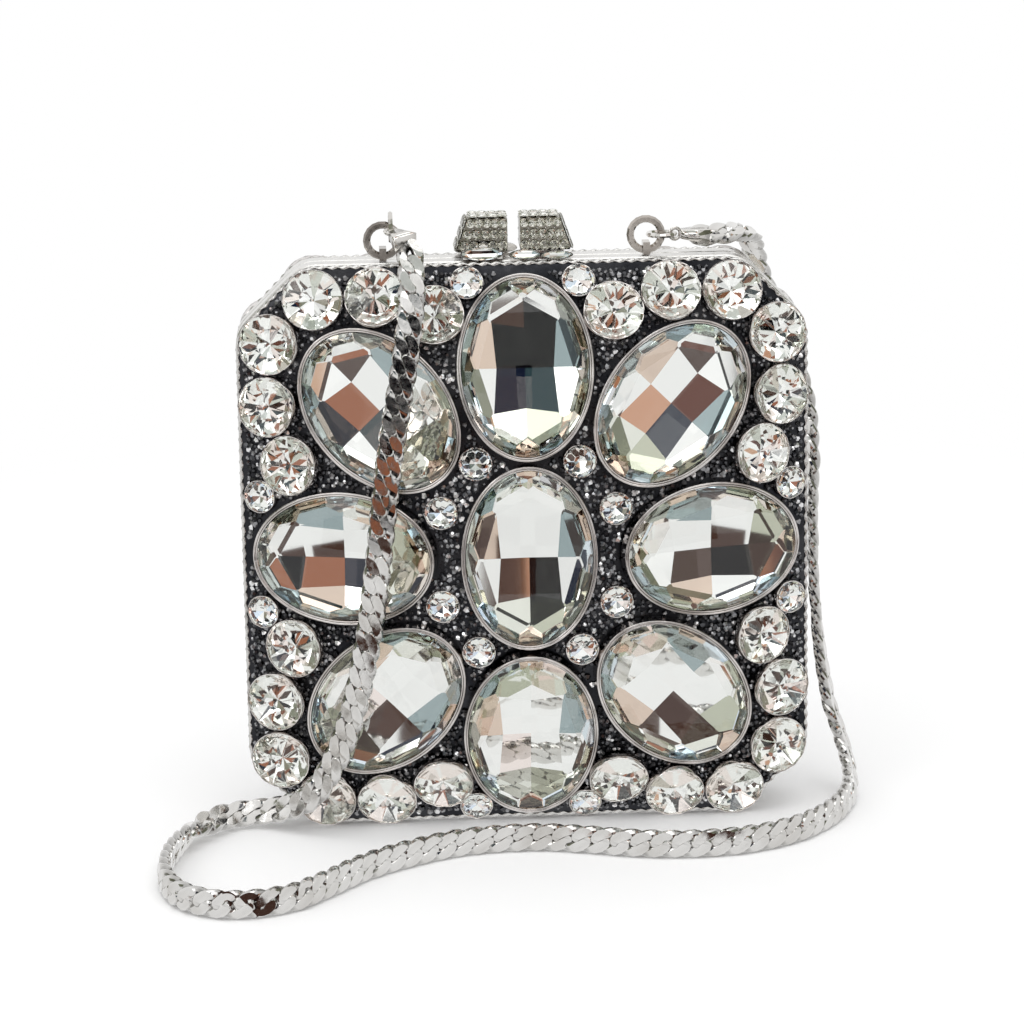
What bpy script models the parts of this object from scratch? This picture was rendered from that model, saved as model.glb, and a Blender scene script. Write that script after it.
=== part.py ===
"""Crystal evening clutch: two hinged pillow-shaped half shells, set stones, kiss-lock posts and a chain strap.

Metres, +Z up. The origin is on the floor under the middle of the closed bag. The front face looks along -Y and
the front half stands still, while the back half swings back about the hinge under the bag.
"""
import math

import bmesh
import bpy
from mathutils import Matrix, Vector

MM = 0.001
FRONT = -1.0
BACK = 1.0

# Driving dimensions of the case.
CASE_HALF_WIDTH = 65.5 * MM
CASE_HALF_HEIGHT = 66.0 * MM
CORNER_LEG = 15.2 * MM
CORNER_RADIUS = 9.0 * MM
CORNER_INSET_SHARE = 0.6
SEAM_GAP = 0.3 * MM
FIT_GAP = 0.3 * MM
BAND_DEPTH = 5.0 * MM
BAND_WALL = 1.8 * MM
LIP_INSET = 0.8 * MM
LIP_DEPTH = 1.9 * MM
CROWN_HEIGHT = 13.5 * MM
SHELL_WALL = 4.2 * MM
SHELL_INNER_INSET = 3.8 * MM
LINING_GAP = 0.5 * MM
LINING_WALL = 1.0 * MM
LINING_INSET = 4.2 * MM
LINING_SETBACK = 0.6 * MM
CENTRE_HEIGHT = CASE_HALF_HEIGHT
CROWN_POWER = 2.3
SLOPE_STEP = 0.5 * MM
CORNER_ARC_POINTS = 4
RING_SHARES = (1.0, 0.9, 0.77, 0.6, 0.4, 0.2)

# The stones fill the face, so their sizes are shares of its smaller half size.
FACE_HALF_SIZE = min(CASE_HALF_WIDTH, CASE_HALF_HEIGHT)
OVAL_WIDTH_SHARE = 0.2382
OVAL_LENGTH_SHARE = 0.3282
RIVOLI_RADIUS_SHARE = 0.1031
CHATON_RADIUS_SHARE = 0.0595

# Oval stones and their bezels.
OVAL_HALF_WIDTH = FACE_HALF_SIZE * OVAL_WIDTH_SHARE
OVAL_HALF_LENGTH = FACE_HALF_SIZE * OVAL_LENGTH_SHARE
BEZEL_WALL = 1.0 * MM
BEZEL_RISE = 1.9 * MM
BEZEL_SINK = 2.6 * MM
POCKET_DEPTH = 3.0 * MM
STONE_GIRDLE = 2.3 * MM
STONE_CROWN = 2.6 * MM
TABLE_SHARE = 0.56
OVAL_SIDES = 20
OVAL_TILT_SHARE = 1.12

# Round stones along the corners and the small chatons.
RIVOLI_RADIUS = FACE_HALF_SIZE * RIVOLI_RADIUS_SHARE
RIVOLI_CUP_HEIGHT = 3.1 * MM
RIVOLI_POINT = 1.6 * MM
RIVOLI_SIDES = 12
RIVOLI_TILT_SHARE = 1.45
SETTING_STRIP_WIDTH = 5.0 * MM
SETTING_STRIP_HEIGHT = 1.0 * MM
CHATON_RADIUS = FACE_HALF_SIZE * CHATON_RADIUS_SHARE
CHATON_RISE = 1.5 * MM
CHATON_POINT = 0.9 * MM
CHATON_SIDES = 8

# Places of the stones on one half, from the middle of the case, as shares of its half width and half height.
OVAL_TOP_SHARE = 0.650
OVAL_SIDE_SHARE = 0.640
OVAL_CORNER_SHARES = (0.505, 0.514)
RIVOLI_PLACE_SHARES = ((0.310, 0.821), (0.511, 0.884), (0.724, 0.882), (0.875, 0.738), (0.882, 0.524), (0.811, 0.324))
CHATON_PLACE_SHARES = ((0.194, 0.930), (0.924, 0.206), (0.180, 0.332), (0.302, 0.165))

# Hinge under the case.
HINGE_HEIGHT = 2.0 * MM
KNUCKLE_RADIUS = 1.7 * MM
HINGE_PIN_RADIUS = 0.8 * MM
HINGE_BORE_GAP = 0.15 * MM
HINGE_END_CLEARANCE = 5.3 * MM
HINGE_LENGTH = 2 * (CASE_HALF_WIDTH - CORNER_LEG - HINGE_END_CLEARANCE)
KNUCKLE_COUNT = 5
KNUCKLE_GAP = 0.4 * MM
HINGE_CUT_HALF_DEPTH = 2.35 * MM
HINGE_CUT_HEIGHT = 4.3 * MM
HINGE_CUT_END = 12.0 * MM
HINGE_CUT_HALF_LENGTH = HINGE_LENGTH / 2 + HINGE_CUT_END
LEAF_THICKNESS = 0.8 * MM
LEAF_DEPTH = 2.9 * MM

# Kiss-lock posts.
POST_MIDDLE_X = -1.5 * MM
POST_GAP = 2.2 * MM
POST_BASE_WIDTH = 12.2 * MM
POST_TOP_WIDTH = 9.6 * MM
POST_DEPTH = 8.8 * MM
POST_HEIGHT = 8.0 * MM
POST_LIFT = 1.9 * MM
POST_AXIS_Y = 3.2 * MM
POST_AXIS_LIFT = 2.7 * MM
SEAT_WIDTH = 9.0 * MM
SEAT_DEPTH = 4.0 * MM
SEAT_THICKNESS = 0.8 * MM
EAR_WIDTH = 3.0 * MM
EAR_RADIUS = 1.3 * MM
EAR_GAP = 0.35 * MM
POST_PIN_RADIUS = 0.6 * MM
POST_PIN_LENGTH = 7.6 * MM
POST_PIN_GAP = 0.12 * MM

# Strap rings and their lugs.
RING_LEFT_X = -31.4 * MM
RING_RIGHT_X = 28.8 * MM
RING_Y = -2.5 * MM
RING_MEAN_RADIUS = 3.6 * MM
RING_WIRE_RADIUS = 0.85 * MM
LUG_WIDTH = 1.6 * MM
LUG_DEPTH = 4.2 * MM
LUG_HEIGHT = 2.9 * MM
LUG_SLOT_RADIUS = 1.12 * MM
RING_SEGMENTS = 18
WIRE_SEGMENTS = 6

# Chain strap and its end pieces.
CHAIN_RADIUS = 2.3 * MM
CHAIN_STEP = 10.5 * MM
END_RING_RADIUS = 3.1 * MM
END_RING_WIRE = 0.55 * MM
EYE_RADIUS = 1.3 * MM
EYE_WIRE = 0.42 * MM
LEFT_CAP_LENGTH = 5.1 * MM
RIGHT_CAP_LENGTH = 6.2 * MM
CAP_NECK = (2.4 * MM, 2.0 * MM)
CAP_MOUTH = (5.8 * MM, 3.4 * MM)
LEFT_RING_OFFSET = 1.9 * MM
LEFT_EYE_DROP = math.radians(10.0)
LEFT_CAP_WAY = (0.5, -0.82, -0.28)
RIGHT_CAP_WAY = (0.93, 0.33, -0.12)

# The route of the chain from the left end cap to the right one.
CHAIN_ROUTE = (
    (-25.4 * MM, -12.4 * MM, 134.2 * MM), (-25.3 * MM, -15.6 * MM, 130.6 * MM), (-25.4 * MM, -18.3 * MM, 125.4 * MM),
    (-26.4 * MM, -20.6 * MM, 117.5 * MM), (-28.0 * MM, -22.5 * MM, 108.5 * MM), (-30.9 * MM, -24.6 * MM, 93.0 * MM),
    (-33.1 * MM, -25.6 * MM, 77.5 * MM), (-35.0 * MM, -25.4 * MM, 62.5 * MM), (-37.6 * MM, -23.8 * MM, 46.0 * MM),
    (-41.0 * MM, -21.5 * MM, 31.0 * MM), (-45.6 * MM, -19.8 * MM, 18.6 * MM), (-51.3 * MM, -17.9 * MM, 9.8 * MM),
    (-58.6 * MM, -12.4 * MM, 5.2 * MM), (-65.8 * MM, -9.6 * MM, 3.7 * MM), (-73.0 * MM, -12.4 * MM, 3.4 * MM),
    (-79.2 * MM, -22.5 * MM, 3.3 * MM), (-83.3 * MM, -37.5 * MM, 3.3 * MM), (-84.0 * MM, -53.5 * MM, 3.3 * MM),
    (-79.5 * MM, -67.0 * MM, 3.3 * MM), (-70.0 * MM, -74.0 * MM, 3.3 * MM), (-57.5 * MM, -71.8 * MM, 3.3 * MM),
    (-48.5 * MM, -62.8 * MM, 3.3 * MM), (-40.0 * MM, -51.8 * MM, 3.3 * MM), (-29.5 * MM, -42.6 * MM, 3.3 * MM),
    (-16.5 * MM, -35.4 * MM, 3.3 * MM), (-1.0 * MM, -33.4 * MM, 3.3 * MM), (11.0 * MM, -36.2 * MM, 3.3 * MM),
    (24.0 * MM, -40.6 * MM, 3.3 * MM), (38.0 * MM, -41.8 * MM, 3.3 * MM), (51.0 * MM, -38.6 * MM, 3.3 * MM),
    (62.5 * MM, -30.4 * MM, 3.3 * MM), (71.8 * MM, -16.6 * MM, 3.3 * MM), (76.4 * MM, -1.6 * MM, 4.6 * MM),
    (75.6 * MM, 7.4 * MM, 11.6 * MM), (72.6 * MM, 10.4 * MM, 22.0 * MM), (70.2 * MM, 10.8 * MM, 38.0 * MM),
    (68.9 * MM, 10.4 * MM, 55.0 * MM), (68.5 * MM, 10.2 * MM, 72.0 * MM), (68.2 * MM, 11.0 * MM, 84.0 * MM),
    (67.0 * MM, 14.0 * MM, 95.0 * MM), (64.0 * MM, 17.0 * MM, 105.0 * MM), (60.4 * MM, 18.2 * MM, 114.5 * MM),
    (57.2 * MM, 17.8 * MM, 123.0 * MM), (55.2 * MM, 14.6 * MM, 130.2 * MM), (53.4 * MM, 8.4 * MM, 134.5 * MM),
    (49.2 * MM, 2.8 * MM, 135.8 * MM), (43.3 * MM, 0.3 * MM, 135.8 * MM),
)


def clear_scene():
    """Remove every object that the scene starts with."""
    for item in list(bpy.data.objects):
        bpy.data.objects.remove(item, do_unlink=True)


def make_material(name, colour, roughness, metallic):
    """Return a Principled material."""
    material = bpy.data.materials.new(name)
    material.use_nodes = True
    shader = material.node_tree.nodes["Principled BSDF"]
    shader.inputs["Base Color"].default_value = (*colour, 1.0)
    shader.inputs["Roughness"].default_value = roughness
    shader.inputs["Metallic"].default_value = metallic
    return material


def add_object(name, mesh_source, colour, roughness=0.3, metallic=1.0, sharp_degrees=35.0):
    """Link a bmesh as a named object with a material of its own."""
    mesh = bpy.data.meshes.new(name)
    bmesh.ops.recalc_face_normals(mesh_source, faces=mesh_source.faces)
    mesh_source.to_mesh(mesh)
    mesh_source.free()
    mesh.shade_smooth()
    mesh.set_sharp_from_angle(angle=math.radians(sharp_degrees))
    mesh.materials.append(make_material(name + "_finish", colour, roughness, metallic))
    item = bpy.data.objects.new(name, mesh)
    bpy.context.scene.collection.objects.link(item)
    return item


def add_cutter(name, mesh_source):
    """Link a bmesh as a hidden cutter."""
    item = add_object(name, mesh_source, (1.0, 1.0, 1.0))
    item.hide_render = True
    item.display_type = "WIRE"
    return item


def use_boolean(item, cutter, operation):
    """Add an exact Boolean modifier."""
    modifier = item.modifiers.new(cutter.name, "BOOLEAN")
    modifier.operation = operation
    modifier.solver = "EXACT"
    modifier.object = cutter


def add_ring_strip(shape, lower, upper):
    """Join two rings of vertices of the same length with quads."""
    count = len(lower)
    for i in range(count):
        j = (i + 1) % count
        shape.faces.new((lower[i], lower[j], upper[j], upper[i]))


def corner_arc(x_sign, z_sign, half_width, half_height, first_vertical):
    """Return the points of one clipped corner, rounded where it meets the two straight sides."""
    leg = CORNER_LEG - (CASE_HALF_WIDTH - half_width) * CORNER_INSET_SHARE
    side_end = Vector((half_width, half_height - leg))
    top_end = Vector((half_width - leg, half_height))
    slant = (top_end - side_end).normalized()
    trim = CORNER_RADIUS * math.tan(math.radians(22.5))
    points = []
    for corner, before, after in ((side_end, Vector((0.0, 1.0)), slant), (top_end, slant, Vector((1.0, 0.0)) * -1.0)):
        start = corner - before * trim
        finish = corner + after * trim
        for step in range(CORNER_ARC_POINTS):
            share = step / (CORNER_ARC_POINTS - 1)
            first = start.lerp(corner, share)
            second = corner.lerp(finish, share)
            points.append(first.lerp(second, share))
    if not first_vertical:
        points.reverse()
    return [(x_sign * p.x, z_sign * p.y) for p in points]


def outline(inset):
    """Return the case's outline in (x, z) from its middle, drawn in by the inset."""
    half_width = CASE_HALF_WIDTH - inset
    half_height = CASE_HALF_HEIGHT - inset
    points = []
    points += corner_arc(1.0, 1.0, half_width, half_height, True)
    points.append((0.0, half_height))
    points += corner_arc(-1.0, 1.0, half_width, half_height, False)
    points.append((-half_width, 0.0))
    points += corner_arc(-1.0, -1.0, half_width, half_height, True)
    points.append((0.0, -half_height))
    points += corner_arc(1.0, -1.0, half_width, half_height, False)
    points.append((half_width, 0.0))
    return points


def crown(x, z):
    """Return how far the pillow stands out from the shell's edge at (x, z)."""
    across = max(0.0, 1.0 - abs(x / CASE_HALF_WIDTH) ** CROWN_POWER)
    upright = max(0.0, 1.0 - abs(z / CASE_HALF_HEIGHT) ** CROWN_POWER)
    return CROWN_HEIGHT * across * upright


def seat_depth():
    """Return the distance from the seam to the shell's flat seat over the band."""
    return SEAM_GAP / 2 + BAND_DEPTH + FIT_GAP


def edge_depth():
    """Return the distance from the seam to the shell's front edge."""
    return seat_depth() + LIP_DEPTH


def ground_depth(x, z):
    """Return the distance from the seam to the shell's outer surface."""
    return edge_depth() + crown(x, z)


def hollow_depth(x, z):
    """Return the distance from the seam to the shell's inner surface."""
    return seat_depth() + max(0.0, crown(x, z) - (SHELL_WALL - LIP_DEPTH))


def surface_frame(x, z, side, tilt_share, turn=0.0):
    """Return a matrix on the shell's surface: local +Z points out, local +Y runs up the face."""
    step = SLOPE_STEP
    slope_x = (crown(x + step, z) - crown(x - step, z)) / (2 * step) * tilt_share
    slope_z = (crown(x, z + step) - crown(x, z - step)) / (2 * step) * tilt_share
    normal = Vector((-slope_x, side, -slope_z)).normalized()
    upward = Vector((0.0, 0.0, 1.0))
    upward = (upward - normal * upward.dot(normal)).normalized()
    across = upward.cross(normal)
    basis = Matrix((across, upward, normal)).transposed().to_4x4()
    origin = Vector((x, side * ground_depth(x, z), CENTRE_HEIGHT + z))
    return Matrix.Translation(origin) @ basis @ Matrix.Rotation(turn, 4, "Z")


def loop_in_frame(shape, frame, half_x, half_y, height, sides):
    """Add an ellipse of vertices at a height over a surface frame."""
    ring = []
    for i in range(sides):
        angle = 2 * math.pi * i / sides
        ring.append(shape.verts.new(frame @ Vector((half_x * math.cos(angle), half_y * math.sin(angle), height))))
    return ring


def add_turned_solid(shape, frame, sections, sides):
    """Add a closed solid from (half x, half y, height) sections over a frame; the ends are flat."""
    rings = [loop_in_frame(shape, frame, half_x, half_y, height, sides) for half_x, half_y, height in sections]
    for lower, upper in zip(rings, rings[1:]):
        add_ring_strip(shape, lower, upper)
    shape.faces.new(rings[0])
    shape.faces.new(rings[-1])


def add_pointed_solid(shape, frame, sections, point_height, sides):
    """Add a closed solid that ends in a point over the frame's origin."""
    rings = [loop_in_frame(shape, frame, half_x, half_y, height, sides) for half_x, half_y, height in sections]
    for lower, upper in zip(rings, rings[1:]):
        add_ring_strip(shape, lower, upper)
    shape.faces.new(rings[0])
    point = shape.verts.new(frame @ Vector((0.0, 0.0, point_height)))
    for i in range(sides):
        shape.faces.new((rings[-1][i], rings[-1][(i + 1) % sides], point))


def box_solid(shape, low, high):
    """Add an upright box between two corners."""
    middle = (Vector(low) + Vector(high)) / 2
    size = Vector(high) - Vector(low)
    bmesh.ops.create_cube(shape, size=1.0, matrix=Matrix.Translation(middle) @ Matrix.Diagonal((*size, 1.0)))


def rod_solid(shape, start, finish, radius, sides):
    """Add a round rod along X between two points."""
    middle = (Vector(start) + Vector(finish)) / 2
    length = (Vector(finish) - Vector(start)).length
    turn = Matrix.Rotation(math.radians(90.0), 4, "Y")
    bmesh.ops.create_cone(shape, cap_ends=True, segments=sides, radius1=radius, radius2=radius, depth=length,
                          matrix=Matrix.Translation(middle) @ turn)


def oval_places():
    """Return (name, x, z, turn) of the nine ovals; the turn lays the long axis across or along a diagonal."""
    lean = math.radians(45.0)
    quarter = math.radians(90.0)
    top_z = CASE_HALF_HEIGHT * OVAL_TOP_SHARE
    side_x = CASE_HALF_WIDTH * OVAL_SIDE_SHARE
    corner_x = CASE_HALF_WIDTH * OVAL_CORNER_SHARES[0]
    corner_z = CASE_HALF_HEIGHT * OVAL_CORNER_SHARES[1]
    return (
        ("centre", 0.0, 0.0, 0.0), ("top", 0.0, top_z, 0.0), ("bottom", 0.0, -top_z, 0.0),
        ("left", -side_x, 0.0, quarter), ("right", side_x, 0.0, quarter),
        ("upper_left", -corner_x, corner_z, lean), ("upper_right", corner_x, corner_z, -lean),
        ("lower_left", -corner_x, -corner_z, -lean), ("lower_right", corner_x, -corner_z, lean),
    )


def oval_frame(place, side):
    """Return the surface frame of one oval; seen from behind, the turns run the other way."""
    _, x, z, turn = place
    return surface_frame(x, z, side, OVAL_TILT_SHARE, turn * -side)


def corner_signs():
    """Return (name, x sign, z sign) of the four corners."""
    return (("upper_left", -1.0, 1.0), ("upper_right", 1.0, 1.0), ("lower_left", -1.0, -1.0), ("lower_right", 1.0, -1.0))


def places(shares, x_sign, z_sign):
    """Return the (x, z) places of one corner's stones from their shares of the case."""
    return [(x_sign * x * CASE_HALF_WIDTH, z_sign * z * CASE_HALF_HEIGHT) for x, z in shares]


def ring_at(shape, side, share, depth_of, inset):
    """Add one ring of the pillow: the outline scaled by a share, at the depth that depth_of gives."""
    ring = []
    for x, z in outline(inset):
        px, pz = x * share, z * share
        ring.append(shape.verts.new((px, side * depth_of(px, pz), CENTRE_HEIGHT + pz)))
    return ring


def close_ring(shape, ring, point):
    """Close a ring with a fan about a point."""
    for i in range(len(ring)):
        shape.faces.new((ring[i], ring[(i + 1) % len(ring)], point))


def make_shell(side, name):
    """Make one pillow-shaped shell with its bezels, stone pockets and chatons."""
    shape = bmesh.new()
    rings = [ring_at(shape, side, 1.0, lambda x, z: seat_depth(), LIP_INSET),
             ring_at(shape, side, 1.0, lambda x, z: edge_depth(), LIP_INSET)]
    rings += [ring_at(shape, side, share, ground_depth, LIP_INSET) for share in RING_SHARES[1:]]
    inner_rings = [ring_at(shape, side, 1.0, lambda x, z: seat_depth(), SHELL_INNER_INSET)]
    inner_rings += [ring_at(shape, side, share, hollow_depth, SHELL_INNER_INSET) for share in RING_SHARES[1:]]
    for layer, depth_of in ((rings, ground_depth), (inner_rings, hollow_depth)):
        for lower, upper in zip(layer, layer[1:]):
            add_ring_strip(shape, lower, upper)
        close_ring(shape, layer[-1], shape.verts.new((0.0, side * depth_of(0.0, 0.0), CENTRE_HEIGHT)))
    add_ring_strip(shape, rings[0], inner_rings[0])
    shell = add_object(name + "_shell", shape, (0.55, 0.55, 0.56), 0.28)

    collars = bmesh.new()
    pockets = bmesh.new()
    for place in oval_places():
        frame = oval_frame(place, side)
        add_turned_solid(collars, frame, (
            (OVAL_HALF_WIDTH, OVAL_HALF_LENGTH, -BEZEL_SINK), (OVAL_HALF_WIDTH, OVAL_HALF_LENGTH, BEZEL_RISE)), OVAL_SIDES)
        half_x, half_y = OVAL_HALF_WIDTH - BEZEL_WALL, OVAL_HALF_LENGTH - BEZEL_WALL
        add_turned_solid(pockets, frame, (
            (half_x, half_y, BEZEL_RISE - POCKET_DEPTH), (half_x, half_y, BEZEL_RISE + POCKET_DEPTH)), OVAL_SIDES)
    use_boolean(shell, add_cutter(name + "_collar_shapes", collars), "UNION")
    use_boolean(shell, add_cutter(name + "_pocket_shapes", pockets), "DIFFERENCE")

    chatons = bmesh.new()
    for _, x_sign, z_sign in corner_signs():
        for x, z in places(CHATON_PLACE_SHARES, x_sign, z_sign):
            frame = surface_frame(x, z, side, 1.0)
            add_pointed_solid(chatons, frame, (
                (CHATON_RADIUS, CHATON_RADIUS, -BEZEL_SINK), (CHATON_RADIUS, CHATON_RADIUS, CHATON_RISE)),
                CHATON_RISE + CHATON_POINT, CHATON_SIDES)
    use_boolean(shell, add_cutter(name + "_chaton_shapes", chatons), "UNION")


def make_ovals(side, name):
    """Make the nine oval stones of one half, each seated in its pocket."""
    for place in oval_places():
        frame = oval_frame(place, side)
        half_x = OVAL_HALF_WIDTH - BEZEL_WALL - FIT_GAP
        half_y = OVAL_HALF_LENGTH - BEZEL_WALL - FIT_GAP
        floor = BEZEL_RISE - POCKET_DEPTH + FIT_GAP
        girdle = floor + STONE_GIRDLE
        shoulder = 1.0 - (1.0 - TABLE_SHARE) * 0.4
        shape = bmesh.new()
        add_turned_solid(shape, frame, (
            (half_x, half_y, floor), (half_x, half_y, girdle),
            (half_x * shoulder, half_y * shoulder, girdle + STONE_CROWN * 0.62),
            (half_x * TABLE_SHARE, half_y * TABLE_SHARE, girdle + STONE_CROWN)), OVAL_SIDES)
        add_object(name + "_oval_" + place[0], shape, (0.82, 0.84, 0.86), 0.02, 0.0, 5.0)


def make_rivoli_rows(side, name):
    """Make the four rows of six round stones, each row joined by its setting strip."""
    for corner, x_sign, z_sign in corner_signs():
        strip_shape = bmesh.new()
        frames = []
        for x, z in places(RIVOLI_PLACE_SHARES, x_sign, z_sign):
            frame = surface_frame(x, z, side, 1.0)
            tilted = surface_frame(x, z, side, RIVOLI_TILT_SHARE)
            frames.append((frame, tilted))
        base = []
        for frame, _ in frames:
            base.append(frame @ Vector((0.0, 0.0, RIVOLI_CUP_HEIGHT * 0.62)))
        for first, second in zip(base, base[1:]):
            middle = (first + second) / 2
            along = (second - first).normalized()
            outward = Vector((0.0, side, 0.0))
            outward = (outward - along * outward.dot(along)).normalized()
            across = outward.cross(along)
            basis = Matrix((along, across, outward)).transposed().to_4x4()
            size = Matrix.Diagonal(((second - first).length, SETTING_STRIP_WIDTH, SETTING_STRIP_HEIGHT, 1.0))
            bar = bmesh.new()
            bmesh.ops.create_cube(bar, size=1.0, matrix=Matrix.Translation(middle) @ basis @ size)
            bar_mesh = bpy.data.meshes.new("bar")
            bar.to_mesh(bar_mesh)
            bar.free()
            strip_shape.from_mesh(bar_mesh)
        for _, tilted in frames:
            lift = RIVOLI_CUP_HEIGHT
            add_pointed_solid(strip_shape, tilted, (
                (RIVOLI_RADIUS * 0.8, RIVOLI_RADIUS * 0.8, lift * 0.4), (RIVOLI_RADIUS, RIVOLI_RADIUS, lift * 0.62),
                (RIVOLI_RADIUS, RIVOLI_RADIUS, lift)), lift + RIVOLI_POINT, RIVOLI_SIDES)
        row = add_object(name + "_rivolis_" + corner, strip_shape, (0.85, 0.86, 0.88), 0.05, 0.0, 5.0)
        modifier = row.modifiers.new("join", "BOOLEAN")
        modifier.operation = "UNION"
        modifier.solver = "EXACT"
        modifier.use_self = True
        modifier.object = add_cutter(name + "_strip_core_" + corner, core_bar(base, side))


def core_bar(base, side):
    """Return a small bar inside the first cup, which the row's own union is made with."""
    shape = bmesh.new()
    half = SETTING_STRIP_HEIGHT / 4
    middle = base[0]
    box_solid(shape, middle - Vector((half, half, half)), middle + Vector((half, half, half)))
    return shape


def make_band(side, name):
    """Make the flat band round one half, from the seam to the shell's seat."""
    seam = SEAM_GAP / 2
    shape = bmesh.new()

    def at(depth):
        return lambda x, z: depth

    outer = [ring_at(shape, side, 1.0, at(seam), 0.0), ring_at(shape, side, 1.0, at(seam + BAND_DEPTH), 0.0)]
    inner = [ring_at(shape, side, 1.0, at(seam), BAND_WALL), ring_at(shape, side, 1.0, at(seam + BAND_DEPTH), BAND_WALL)]
    add_ring_strip(shape, outer[0], outer[1])
    add_ring_strip(shape, outer[1], inner[1])
    add_ring_strip(shape, inner[1], inner[0])
    add_ring_strip(shape, inner[0], outer[0])
    band = add_object(name + "_band", shape, (0.62, 0.61, 0.60), 0.25)
    cut = bmesh.new()
    near, far = sorted((-side * HINGE_CUT_HALF_DEPTH, side * HINGE_CUT_HALF_DEPTH))
    box_solid(cut, (-HINGE_CUT_HALF_LENGTH, near, -HINGE_CUT_HEIGHT), (HINGE_CUT_HALF_LENGTH, far, HINGE_CUT_HEIGHT))
    use_boolean(band, add_cutter(name + "_hinge_notch", cut), "DIFFERENCE")


def make_lining(side, name):
    """Make the inner lining bowl of one half, a small gap inside the shell and the band."""
    mouth = SEAM_GAP / 2 + LINING_SETBACK
    shape = bmesh.new()
    layers = []
    for inset, drop in ((LINING_INSET, LINING_GAP), (LINING_INSET + LINING_WALL, LINING_GAP + LINING_WALL)):
        rings = [ring_at(shape, side, 1.0, lambda x, z: mouth, inset),
                 ring_at(shape, side, 1.0, lambda x, z: seat_depth() - drop, inset)]
        rings += [ring_at(shape, side, share, lambda x, z: hollow_depth(x, z) - drop, SHELL_INNER_INSET)
                  for share in RING_SHARES[1:]]
        for lower, upper in zip(rings, rings[1:]):
            add_ring_strip(shape, lower, upper)
        middle = (0.0, side * (hollow_depth(0.0, 0.0) - drop), CENTRE_HEIGHT)
        close_ring(shape, rings[-1], shape.verts.new(middle))
        layers.append(rings[0])
    add_ring_strip(shape, layers[0], layers[1])
    add_object(name + "_lining", shape, (0.05, 0.05, 0.055), 0.8, 0.0)


def make_hinge_leaf(side, name, first_knuckle):
    """Make one hinge leaf: every second knuckle, and a flange over the band's bottom wall."""
    pitch = HINGE_LENGTH / KNUCKLE_COUNT
    knuckles = bmesh.new()
    flange_low = BAND_WALL + FIT_GAP
    flange_start = KNUCKLE_RADIUS + KNUCKLE_GAP
    near, far = sorted((side * flange_start, side * (flange_start + LEAF_DEPTH)))
    box_solid(knuckles, (-HINGE_LENGTH / 2, near, flange_low), (HINGE_LENGTH / 2, far, flange_low + LEAF_THICKNESS))
    leaf = add_object(name + "_hinge_leaf", knuckles, (0.5, 0.5, 0.5), 0.35)
    barrel = bmesh.new()
    bores = bmesh.new()
    for i in range(first_knuckle, KNUCKLE_COUNT, 2):
        start = -HINGE_LENGTH / 2 + i * pitch + KNUCKLE_GAP / 2
        finish = start + pitch - KNUCKLE_GAP
        rod_solid(barrel, (start, 0.0, HINGE_HEIGHT), (finish, 0.0, HINGE_HEIGHT), KNUCKLE_RADIUS, 12)
        tab_near, tab_far = sorted((side * KNUCKLE_RADIUS * 0.7, side * (flange_start + LEAF_DEPTH * 0.2)))
        tabs = bmesh.new()
        box_solid(tabs, (start, tab_near, flange_low), (finish, tab_far, flange_low + LEAF_THICKNESS))
        use_boolean(leaf, add_cutter(f"{name}_hinge_tab_{i}", tabs), "UNION")
        rod_solid(bores, (start - KNUCKLE_GAP, 0.0, HINGE_HEIGHT), (finish + KNUCKLE_GAP, 0.0, HINGE_HEIGHT),
                  HINGE_PIN_RADIUS + HINGE_BORE_GAP, 12)
    use_boolean(leaf, add_cutter(name + "_hinge_barrel", barrel), "UNION")
    use_boolean(leaf, add_cutter(name + "_hinge_bore", bores), "DIFFERENCE")


def make_hinge_pin():
    """Make the pin through all the knuckles."""
    shape = bmesh.new()
    rod_solid(shape, (-HINGE_LENGTH / 2, 0.0, HINGE_HEIGHT), (HINGE_LENGTH / 2, 0.0, HINGE_HEIGHT), HINGE_PIN_RADIUS, 12)
    add_object("hinge_pin", shape, (0.6, 0.6, 0.6), 0.3)


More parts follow.
